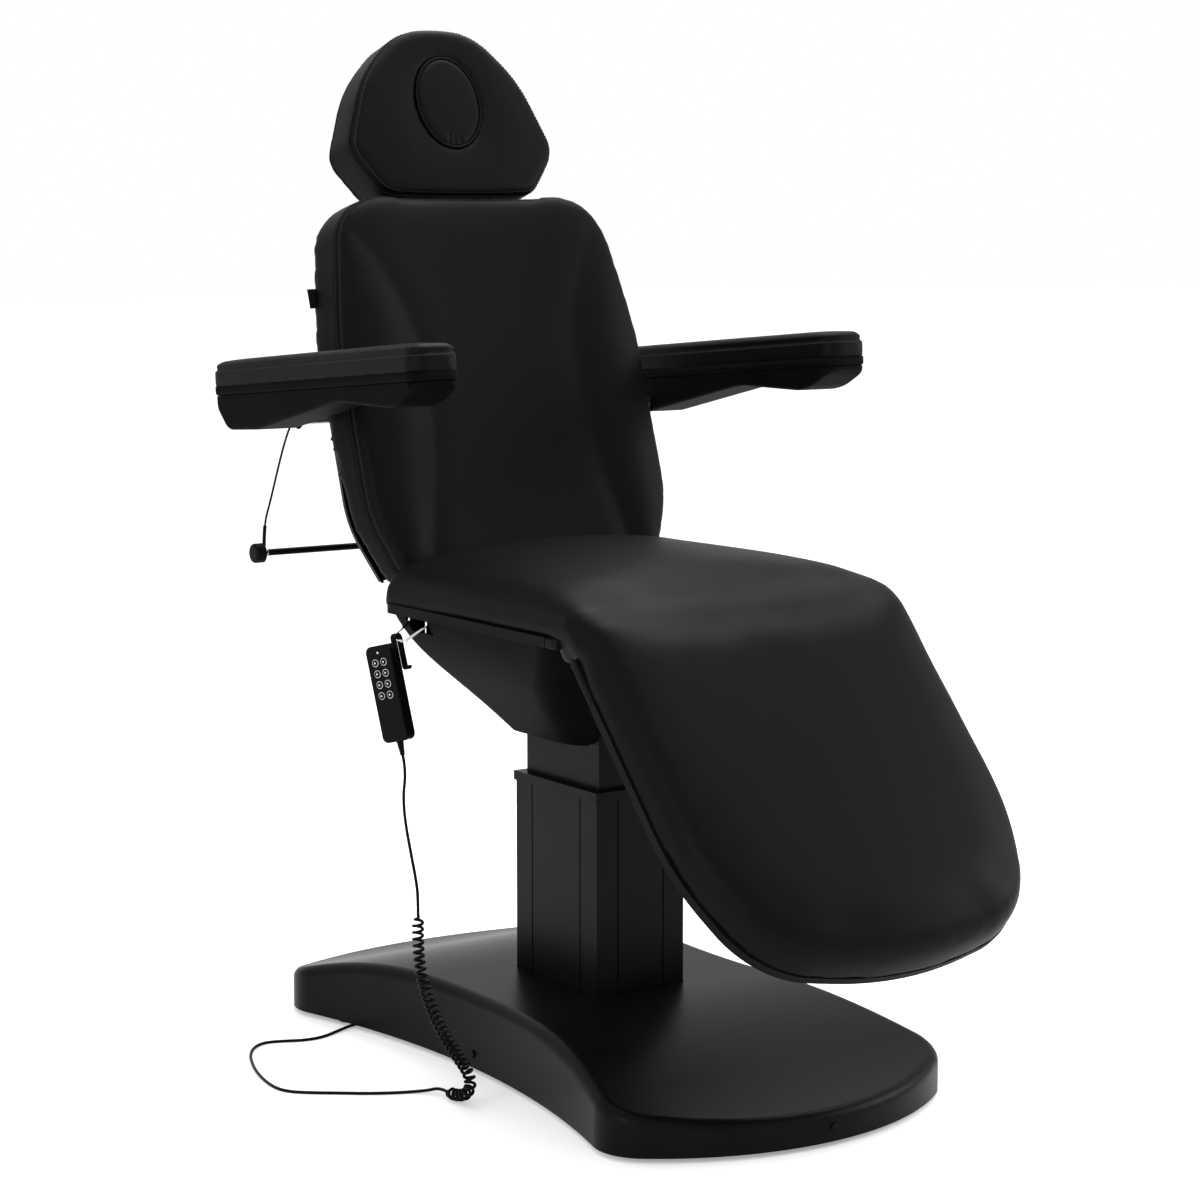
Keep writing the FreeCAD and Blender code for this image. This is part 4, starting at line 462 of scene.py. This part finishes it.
def blow_up(thing, held, cap):
    """Cloth simulation with pressure; held vertices are pinned, and none moves further than cap."""
    start = [v.co.copy() for v in thing.data.vertices]
    pins = thing.vertex_groups.new(name="held")
    pins.add([v.index for v in thing.data.vertices if held(v.co, v.normal)], 1.0, "REPLACE")
    cloth = thing.modifiers.new("cover", "CLOTH")
    cloth.settings.quality = 4
    cloth.settings.mass = 0.4
    cloth.settings.tension_stiffness = 20
    cloth.settings.compression_stiffness = 20
    cloth.settings.bending_stiffness = 20
    cloth.settings.use_pressure = True
    cloth.settings.uniform_pressure_force = PRESSURE
    cloth.settings.vertex_group_mass = "held"
    cloth.settings.effector_weights.gravity = 0
    cloth.collision_settings.use_collision = False
    for number in range(1, FRAMES + 1):
        bpy.context.scene.frame_set(number)
    swollen = thing.evaluated_get(bpy.context.evaluated_depsgraph_get()).data
    ends = [v.co.copy() for v in swollen.vertices]
    thing.modifiers.clear()
    thing.vertex_groups.clear()
    bpy.context.scene.frame_set(1)
    moves = bmesh.new()
    moves.from_mesh(thing.data)
    for vert, before, after in zip(moves.verts, start, ends):
        step = after - before
        vert.co = step * min(1, cap / max(step.length, 1e-9))
    even_out(moves, moves.verts[:], EVENING_ROUNDS)
    for vert, before, move in zip(thing.data.vertices, start, moves.verts):
        vert.co = before + move.co
    moves.free()


def unchanged(co):
    return co


def upholster(name, sources, held, voxel, inset, cap, reshape=unchanged, filler=()):
    """A padded piece from solids: even skin, drawn in, blown up, rounded and subdivided once."""
    shape = cad_copy(*sources)
    for vert in shape.verts:
        vert.co = reshape(vert.co)
    for place, radius, width in filler:
        across = Matrix.Translation(place) @ Matrix.Rotation(math.radians(90), 4, "Y")
        bmesh.ops.create_cone(shape, cap_ends=True, segments=48, radius1=radius, radius2=radius,
                              depth=width, matrix=across)
    pad = finished(name, shape, vinyl)
    with_modifier(pad, "REMESH", mode="VOXEL", voxel_size=voxel)
    relax(pad, SKIN_ROUNDS)
    for vert in pad.data.vertices:
        if not held(vert.co, vert.normal):
            vert.co -= vert.normal * inset
    blow_up(pad, held, cap)
    relax(pad, PAD_ROUNDS)
    with_modifier(pad, "SUBSURF", levels=1, render_levels=1)
    pad.data.polygons.foreach_set("use_smooth", [True] * len(pad.data.polygons))
    pad.data.materials.clear()
    pad.data.materials.append(vinyl)
    print(name, len(pad.data.polygons), "faces")
    return pad


# %% [markdown]
# ## Sewing
# A seam is a line on a pad's skin. To find one, rays run from outside towards the middle of the pad, all
# in one plane, and mark where they meet the skin. The skin is drawn in along that line, and rows of
# stitches lie beside it, each a small thread loop laid along the skin.

# %% Sewing helpers
SEAM_STEP = 0.002
SHORT_PITCH, SHORT_STITCH = 0.006, 0.0042
ACROSS, ALONG, UP = (1, 0, 0), (0, 1, 0), (0, 0, 1)


def skin(thing):
    """A search tree over the faces of a mesh at the origin."""
    mesh = thing.data
    return BVHTree.FromPolygons([v.co for v in mesh.vertices], [p.vertices for p in mesh.polygons])


def rim_line(thing, group, centre, one, two, start=0, stop=360, count=480):
    """Where rays meet a pad, run inwards to a centre in the plane of two of its group's axes."""
    tree = skin(thing)
    middle = on(group, *centre)
    turn = group.to_3x3()
    places = []
    for k in range(count + 1):
        angle = math.radians(start + (stop - start) * k / count)
        out = turn @ (Vector(one) * math.cos(angle) + Vector(two) * math.sin(angle))
        place = tree.ray_cast(middle + out, -out)[0]
        if place is not None:
            places.append(place)
    return places


def paced(places, pitch):
    """Places and headings at even steps along a line."""
    steps, carried = [], 0.0
    for a, b in zip(places, places[1:]):
        span = (b - a).length
        while carried < span:
            steps.append((a.lerp(b, carried / span), (b - a).normalized()))
            carried += pitch
        carried -= span
    return steps


def groove(thing, places, width, depth):
    """Draws a pad's skin in along a line."""
    places = [place for place, _ in paced(places, SEAM_STEP)]
    near = KDTree(len(places))
    for i, place in enumerate(places):
        near.insert(place, i)
    near.balance()
    normals = [v.normal.copy() for v in thing.data.vertices]
    for vert, normal in zip(thing.data.vertices, normals):
        gap = near.find(vert.co)[2]
        if gap < width:
            vert.co -= normal * depth * (1 - (gap / width) ** 2) ** 2
    thing.data.update()


def stitches(name, thing, places, body, pitch=0.0065, length=0.0046, thick=0.0007):
    """A row of stitches lying on a pad's skin."""
    tree = skin(thing)
    data = bpy.data.curves.new(name, "CURVE")
    data.dimensions = "3D"
    data.bevel_depth = thick
    data.bevel_resolution = 1
    data.use_fill_caps = True
    for place, heading in paced(places, pitch):
        spot, normal = tree.find_nearest(place)[:2]
        loop = data.splines.new("POLY")
        loop.points.add(2)
        for knot, (share, lift) in zip(loop.points, ((-0.5, -0.4), (0, 0.5), (0.5, -0.4))):
            knot.co = (*(spot + heading * length * share + normal * thick * lift), 1)
    curve = bpy.data.objects.new(name, data)
    bpy.context.collection.objects.link(curve)
    bpy.context.view_layer.update()
    row = bmesh.new()
    row.from_mesh(bpy.data.meshes.new_from_object(curve))
    bpy.data.objects.remove(curve)
    bmesh.ops.remove_doubles(row, verts=row.verts, dist=1e-6)
    sewn = finished(name, row, thread)
    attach(sewn, body)
    print(name, len(data.splines), "stitches")


# %% [markdown]
# The seat and the leg rest are one long pad that rolls over the knee without a seam, so both solids go
# into one skin. Its underside lies on the two boards and is held.

# %% Seat and leg pad
SEAT_BOARD_TOP, LEG_BOARD_TOP = 726, 24
EDGE_DROP = 8
ROLL_WIDTH = 0.588
knee = at(0, -341, 700)


def under_seat(co, normal):
    """Tells whether a place is on the underside, seen from the seat or from the leg rest."""
    local = LEG.inverted() @ co
    on_leg = local.y < -0.02 and (LEG.to_3x3().inverted() @ normal).z < -0.6
    return normal.z < -0.7 or on_leg


def seated(co):
    """Lets the pad's lower edge close over the edge of its boards."""
    local = (LEG.inverted() @ co) * 1000
    if local.y > 30 and co.z * 1000 < SEAT_BOARD_TOP + 1.5:
        return co - Vector((0, 0, EDGE_DROP)) / 1000
    if local.y < -60 and local.z < LEG_BOARD_TOP + 1:
        return on(LEG, local.x, local.y, local.z - EDGE_DROP)
    return co


def over_knee(reach):
    """Picks the top of the pad within a distance of the knee's axis."""
    return lambda co: (math.hypot(*(co - knee).yz) < reach
                       and (co.z > 0.745 if co.y > knee.y else (LEG.inverted() @ co).z > 0.045))


rolls = ((knee + Vector((0, 0, 0.01)), 0.022, ROLL_WIDTH), (on(LEG, 0, -44, 40), 0.026, ROLL_WIDTH))
long_pad = upholster("seat_and_leg_pad", ("seat_cushion", "leg_cushion"), under_seat, 0.008, 0.0, 0.009,
                     reshape=seated, filler=rolls)
for reach in (0.19, 0.17, 0.15, 0.13):
    relax(long_pad, 8, over_knee(reach))
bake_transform(long_pad)
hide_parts("seat_cushion", "leg_cushion")

# %% [markdown]
# The rims of the seat and of the leg rest run on to the knee in short end pieces at the sides, rounded
# off where they meet. Each has its group's frame, its body, its outer face and its reach along Y and Z.

# %% Rim ends at the knee
RIM_WIDTH = 16
RIM_ENDS = {
    "leg_rim_end": (LEG, "leg_rest", 297, (-91, -16), (10, LEG_BOARD_TOP)),
    "seat_rim_end": (Matrix.Translation(at(0, 0, 0)), "seat", 300, (-331, -300), (711, SEAT_BOARD_TOP)),
}
for name, (group, body, outside, along, tall) in RIM_ENDS.items():
    for side, way in (("right", -1), ("left", 1)):
        tip = bmesh.new()
        size = Vector((RIM_WIDTH, along[1] - along[0], tall[1] - tall[0])) / 1000
        bmesh.ops.create_cube(tip, size=1, matrix=Matrix.Diagonal((*size, 1)))
        bmesh.ops.bevel(tip, geom=tip.edges[:], offset=0.003, segments=3, profile=0.5, affect="EDGES", material=-1)
        place = Vector((way * (outside - RIM_WIDTH / 2), sum(along) / 2, sum(tall) / 2)) / 1000
        tip.transform(group @ Matrix.Translation(place))
        tip = finished(f"{name}_{side}", tip, plywood)
        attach(tip, body)
        print("made", tip.name)

# %% [markdown]
# The wire hanger of the hand control leaves the belly through a recess. A plate behind it closes the
# view into the belly.

# %% Recess liner
liner = bmesh.new()
bmesh.ops.create_grid(liner, x_segments=4, y_segments=4, size=0.5, matrix=Matrix.Diagonal((0.05, 0.1, 1, 1)))
bmesh.ops.solidify(liner, geom=liner.faces[:], thickness=0.002)
liner.transform(Matrix.Translation(at(-240, 74.5, 688)) @ Matrix.Rotation(math.radians(90), 4, "Y"))
liner = finished("hanger_recess_liner", liner, abs_shell)
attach(liner, "seat")
print("made", liner.name)

# %% [markdown]
# The back has two raised bolsters beside a sunken middle. The creases between them are closest at the
# waist and run out to the corners at the top, so the middle's half width is a short table of heights.

# %% Back pad
CREASE = [(-40, 200), (50, 190), (160, 166), (245, 153), (375, 155), (430, 168), (500, 197), (570, 240), (640, 292)]
BOLSTER, CREASE_DEPTH, CREASE_WIDTH = 9, 3, 26
WRAP, WRAP_SPREAD = 27, 1.014
BACK_MIDDLE, BACK_SEAM, BACK_ROWS = 300, -53, (-59, -47)


def behind_back(co, normal):
    """Tells whether a place is on the rear of the back or of the head rest."""
    return (BACK.to_3x3().inverted() @ normal).y > 0.6


def crease_at(z):
    """Half the width of the sunken middle at a height, in the back's millimetres."""
    for (low, a), (high, b) in zip(CREASE, CREASE[1:]):
        if z <= high:
            share = max(0, (z - low) / (high - low))
            return a + (b - a) * share
    return CREASE[-1][1]


def wrapped(co):
    """The cover of the back wraps round the board's edge, further at the top than at the hips."""
    x, y, z = (BACK.inverted() @ co) * 1000
    if y > -8:
        y += WRAP * min(1, max(0, (z - 60) / 220))
        x *= WRAP_SPREAD
    return on(BACK, x, y, z)


back_pad = upholster("back_pad", ("back_cushion",), behind_back, 0.008, 0.001, 0.006, reshape=wrapped)
forward = BACK.to_3x3() @ Vector((0, -1, 0))
for vert in back_pad.data.vertices:
    x, y, z = (BACK.inverted() @ vert.co) * 1000
    if y < -30:
        edge = crease_at(z)
        beyond = abs(x) - edge
        roll = max(0, math.sin(math.pi * min(1, max(0, beyond) / max(30, 300 - edge)))) ** 0.7
        fade = min(1, max(0, (610 - z) / 160))
        step = (BOLSTER * roll - CREASE_DEPTH * math.exp(-(beyond / CREASE_WIDTH) ** 2)) * fade
        vert.co += forward * step * min(1, (-30 - y) / 30) / 1000
relax(back_pad, 12, lambda co: (BACK.inverted() @ co).y < -0.06)
groove(back_pad, rim_line(back_pad, BACK, (0, BACK_SEAM, BACK_MIDDLE), ACROSS, UP), 0.008, 0.0035)
for number, level in enumerate(BACK_ROWS, 1):
    row = rim_line(back_pad, BACK, (0, level, BACK_MIDDLE), ACROSS, UP)
    stitches(f"back_stitches_{number}", back_pad, row, "back_rest")
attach(back_pad, "back_rest")
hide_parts("back_cushion", "back_board")

# %% [markdown]
# A small woven tag is sewn on near the rear edge of the back's side. It waves a little and is blank.

# %% Tag
TAG_WIDTH, TAG_HEIGHT, TAG_WAVE = 0.016, 0.032, 0.0025
tag_place = rim_line(back_pad, BACK, (0, 10, 474), (-1, 0, 0), UP, 0, 0, 1)[0]
tag = bmesh.new()
bmesh.ops.create_grid(tag, x_segments=6, y_segments=12, size=0.5,
                      matrix=Matrix.Diagonal((TAG_WIDTH, TAG_HEIGHT, 1, 1)))
for vert in tag.verts:
    vert.co.z = TAG_WAVE * math.cos(vert.co.x * 190) * (vert.co.x + TAG_WIDTH / 2) / TAG_WIDTH
bmesh.ops.solidify(tag, geom=tag.faces[:], thickness=0.0012)
hang = Matrix.Translation(tag_place) @ BACK.to_3x3().to_4x4() @ Matrix.Translation((-0.005, 0, 0))
tag.transform(hang @ Matrix.Rotation(math.radians(90), 4, "X"))
tag = finished("back_tag", tag, braid)
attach(tag, "back_rest")
print("made", tag.name)


# %% [markdown]
# The head pad is boxed: a front panel, a strip round the side and a back, sewn together with stitches
# beside each seam.

# %% Head pad
PLUG_HALF_WIDTH, PLUG_HALF_HEIGHT, PLUG_MIDDLE = 60, 77, 790
HEAD_SEAMS, HEAD_ROWS = (-38, 30), (-44, -32, 24)


def filled_out(co):
    """The head pad's cover stands a little wider than its solid and hangs lower; its hole stays."""
    x, y, z = (BACK.inverted() @ co) * 1000
    if math.hypot(x / PLUG_HALF_WIDTH, (z - PLUG_MIDDLE) / PLUG_HALF_HEIGHT) < 1.1:
        return co
    return on(BACK, x * 1.03, y * 1.04, z - 3 * min(1, max(0, (787 - z) / 150)))


head_pad = upholster("head_pad", ("head_cushion",), behind_back, 0.005, 0.0, 0.004, reshape=filled_out)
for level in HEAD_SEAMS:
    groove(head_pad, rim_line(head_pad, BACK, (0, level, PLUG_MIDDLE), ACROSS, UP), 0.007, 0.003)
for number, level in enumerate(HEAD_ROWS, 1):
    row = rim_line(head_pad, BACK, (0, level, PLUG_MIDDLE), ACROSS, UP)
    stitches(f"head_stitches_{number}", head_pad, row, "head_rest", SHORT_PITCH, SHORT_STITCH)
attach(head_pad, "head_rest")
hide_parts("head_cushion")

# %% [markdown]
# The face hole is filled by an oval plug. Its cover is gathered in three small folds at the bottom, and
# its edge is piped.


# %% Face plug
def on_oval(degrees, depth, share=1):
    """A place on the plug's oval, or on a smaller one inside it."""
    angle = math.radians(degrees)
    return on(BACK, PLUG_HALF_WIDTH * share * math.cos(angle), depth,
              PLUG_MIDDLE + PLUG_HALF_HEIGHT * share * math.sin(angle))


plug_pad = upholster("face_plug_pad", ("face_plug",), behind_back, 0.004, 0.0, 0.003)
for angle in (-103, -92, -80):
    groove(plug_pad, [on_oval(angle, -54, share) for share in (0.78, 0.84, 0.9, 0.96)], 0.006, 0.0014)
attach(plug_pad, "face_plug")
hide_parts("face_plug")
piping = tube_mesh("face_plug_piping", [on_oval(3 * k, -50) for k in range(120)], 0.002, 3, closed=True)
piping.data.materials.append(vinyl)
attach(piping, "face_plug")


# %% [markdown]
# Each arm pad sits in its shell, with one seam and a row of stitches round its side.

# %% Arm pads
PAD_FOOT, PAD_SINK = 57, 5
ARM_SEAM, ARM_ROW, ARM_RAYS = 84, 79, 900


def under_arm(co, normal):
    """Tells whether a place is on an arm pad's underside."""
    return normal.z < -0.6


def let_in(co):
    """The lower edge of an arm pad sits in its shell."""
    x, y, z = (ARM.inverted() @ co) * 1000
    return on(ARM, x, y, z - PAD_SINK) if z < PAD_FOOT else co


for name in ("right", "left"):
    arm_pad = upholster(f"{name}_arm_cushion", (f"{name}_arm_pad",), under_arm, 0.005, 0.0, 0.003, reshape=let_in)
    low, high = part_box(f"{name}_arm_pad")
    middle = (ARM.inverted() @ ((Vector(low) + Vector(high)) / 2)) * 1000
    seam = rim_line(arm_pad, ARM, (middle.x, middle.y, ARM_SEAM), ACROSS, ALONG, count=ARM_RAYS)
    groove(arm_pad, seam, 0.006, 0.0028)
    row = rim_line(arm_pad, ARM, (middle.x, middle.y, ARM_ROW), ACROSS, ALONG, count=ARM_RAYS)
    stitches(f"{name}_arm_stitches", arm_pad, row, f"{name}_arm", SHORT_PITCH, SHORT_STITCH)
    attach(arm_pad, f"{name}_arm")
    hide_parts(f"{name}_arm_pad")

# %% [markdown]
# The arm shells are moulded with soft edges. The solid has them sharp, so a copy of it gets the sharp
# outer edges below its rim rounded and stands for it.

# %% Arm shells
SHELL_ROUND = 0.006
for name in ("right", "left"):
    shell = cad_copy(f"{name}_arm_shell")
    bmesh.ops.dissolve_limit(shell, angle_limit=math.radians(2), verts=shell.verts, edges=shell.edges)
    rim = max((ARM.inverted() @ v.co).z for v in shell.verts) - SHELL_ROUND
    sharp = [e for e in shell.edges if len(e.link_faces) == 2 and e.is_convex
             and e.calc_face_angle(0) > math.radians(35)
             and all((ARM.inverted() @ v.co).z < rim for v in e.verts)]
    bmesh.ops.bevel(shell, geom=sharp, offset=SHELL_ROUND, segments=4, profile=0.5, affect="EDGES", material=-1)
    rounded = finished(f"{name}_arm_moulding", shell, abs_matt)
    with_modifier(rounded, "WEIGHTED_NORMAL", keep_sharp=True)
    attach(rounded, f"{name}_arm")
    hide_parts(f"{name}_arm_shell")
    print(rounded.name, len(rounded.data.polygons), "faces")

# %% [markdown]
# ## Hand control
# Eight round keys stand in two columns. Each has a printed ring round it and a plain arrow on its cap,
# up in one column and down in the other. A small lamp sits above them, and a scored line crosses the
# case below.

# %% Hand control print
FACE = -12.05


def flat_on_handset(name, shape, x, y, z, body, material):
    """Puts a flat piece, drawn in its own XY plane, on the hand control's face."""
    upright = Matrix.Rotation(math.radians(90), 4, "X")
    shape.transform(HANDSET @ Matrix.Translation(Vector((x, y, z)) / 1000) @ upright)
    made = finished(name, shape, material, smooth=False)
    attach(made, body)


def ring(inner, outer, thick):
    """A flat ring, in metres."""
    shape = bmesh.new()
    edges = []
    for radius in (inner, outer):
        circle = bmesh.ops.create_circle(shape, cap_ends=False, segments=40, radius=radius)
        edges += list({e for v in circle["verts"] for e in v.link_edges})
    faces = bmesh.ops.bridge_loops(shape, edges=edges)["faces"]
    bmesh.ops.solidify(shape, geom=faces, thickness=thick)
    return shape


for number in range(1, 9):
    low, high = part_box(f"button_{number}")
    key = (HANDSET.inverted() @ ((Vector(low) + Vector(high)) / 2)) * 1000
    flat_on_handset(f"key_ring_{number}", ring(0.0051, 0.0058, 0.00015), key.x, FACE, key.z, "handset",
                    mark_white)
    arrow = bmesh.new()
    bmesh.ops.create_circle(arrow, cap_ends=True, segments=3, radius=0.0022)
    bmesh.ops.solidify(arrow, geom=arrow.faces[:], thickness=0.0001)
    arrow.transform(Matrix.Rotation(math.radians(0 if key.x < 0 else 180), 4, "Z"))
    flat_on_handset(f"key_arrow_{number}", arrow, key.x, FACE - 1.2, key.z, f"button_{number}", mark_white)
flat_on_handset("handset_lamp", ring(0.0001, 0.0016, 0.0004), 0, FACE, 64, "handset", mark_white)
score = bmesh.new()
bmesh.ops.create_grid(score, x_segments=8, y_segments=1, size=0.5, matrix=Matrix.Diagonal((0.042, 0.0005, 1, 1)))
bmesh.ops.solidify(score, geom=score.faces[:], thickness=0.0002)
flat_on_handset("handset_score", score, 0, FACE, -44, "handset", rubber)
print("hand control printed")

# %% [markdown]
# The boot that guards the cord is ribbed so that it bends evenly. A stepped profile is spun round the
# cord's line.

# %% Ribbed boot
BOOT_TOP, BOOT_LENGTH, RIBS = -75, 22, 7
profile = bmesh.new()
knots = []
for k in range(4 * RIBS + 1):
    share = k / (4 * RIBS)
    radius = 5.6 - 2.0 * share + (0.45 if k % 4 in (1, 2) else -0.45)
    knots.append(profile.verts.new(Vector((radius, 0, BOOT_TOP - BOOT_LENGTH * share)) / 1000))
ribs = [profile.edges.new(pair) for pair in zip(knots, knots[1:])]
bmesh.ops.spin(profile, geom=knots + ribs, axis=(0, 0, 1), cent=(0, 0, 0), angle=2 * math.pi, steps=28,
               use_merge=True)
bmesh.ops.holes_fill(profile, edges=profile.edges)
profile.transform(HANDSET)
boot = finished("handset_ribbed_boot", profile, rubber)
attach(boot, "handset")
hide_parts("handset_boot")
print(boot.name, len(boot.data.polygons), "faces")

# %% [markdown]
# A bright ferrule closes each end of the roll bar, next to its knob.

# %% Roll bar ferrules
low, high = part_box("roll_bar")
bar_y, bar_z = (low[1] + high[1]) / 2, (low[2] + high[2]) / 2
for name, end, way in (("right", low[0], 1), ("left", high[0], -1)):
    reach = [Vector((end + way * step, bar_y, bar_z)) for step in (0.001, 0.0025, 0.0065, 0.008)]
    ferrule = tube_mesh(f"roll_bar_ferrule_{name}", reach, (high[2] - low[2]) / 2 + 0.0011, 4)
    ferrule.data.materials.append(bright_steel)
    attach(ferrule, "roll_bar")
    print("made", ferrule.name)

# %% [markdown]
# ## Studio
# The photograph has a white room: a pale floor that runs to the horizon, a large soft light overhead
# and softer ones at the sides.

# %% Floor and lights
ground, tree, shader = new_material("studio_floor_matt_white")
shader.inputs["Base Color"].default_value = colour("#f4f4f4")
shader.inputs["Roughness"].default_value = 0.8
shader.inputs["Emission Color"].default_value = colour("#ffffff")
shader.inputs["Emission Strength"].default_value = 0.3
sheet = bmesh.new()
bmesh.ops.create_grid(sheet, x_segments=1, y_segments=1, size=40)
floor = finished("studio_floor", sheet, ground)
world = bpy.data.worlds.new("studio")
world.use_nodes = True
world.node_tree.nodes["Background"].inputs["Color"].default_value = (1, 1, 1, 1)
world.node_tree.nodes["Background"].inputs["Strength"].default_value = 1.0
bpy.context.scene.world = world


def softbox(name, place, aim, size, power):
    """A square area light at a place, turned to a point."""
    lamp = bpy.data.lights.new(name, "AREA")
    lamp.size = size
    lamp.energy = power
    made = bpy.data.objects.new(name, lamp)
    made.location = place
    made.rotation_euler = (Vector(aim) - Vector(place)).to_track_quat("-Z", "Y").to_euler()
    bpy.context.collection.objects.link(made)


softbox("overhead", (0.8, 0.6, 3.6), (0, 0, 0.8), 2.6, 125)
softbox("right_side", (3.2, -1.6, 1.8), (0, 0, 0.7), 1.8, 60)
softbox("left_front", (-3.4, -1.2, 1.6), (0, 0, 0.7), 1.6, 35)
print("lights set")
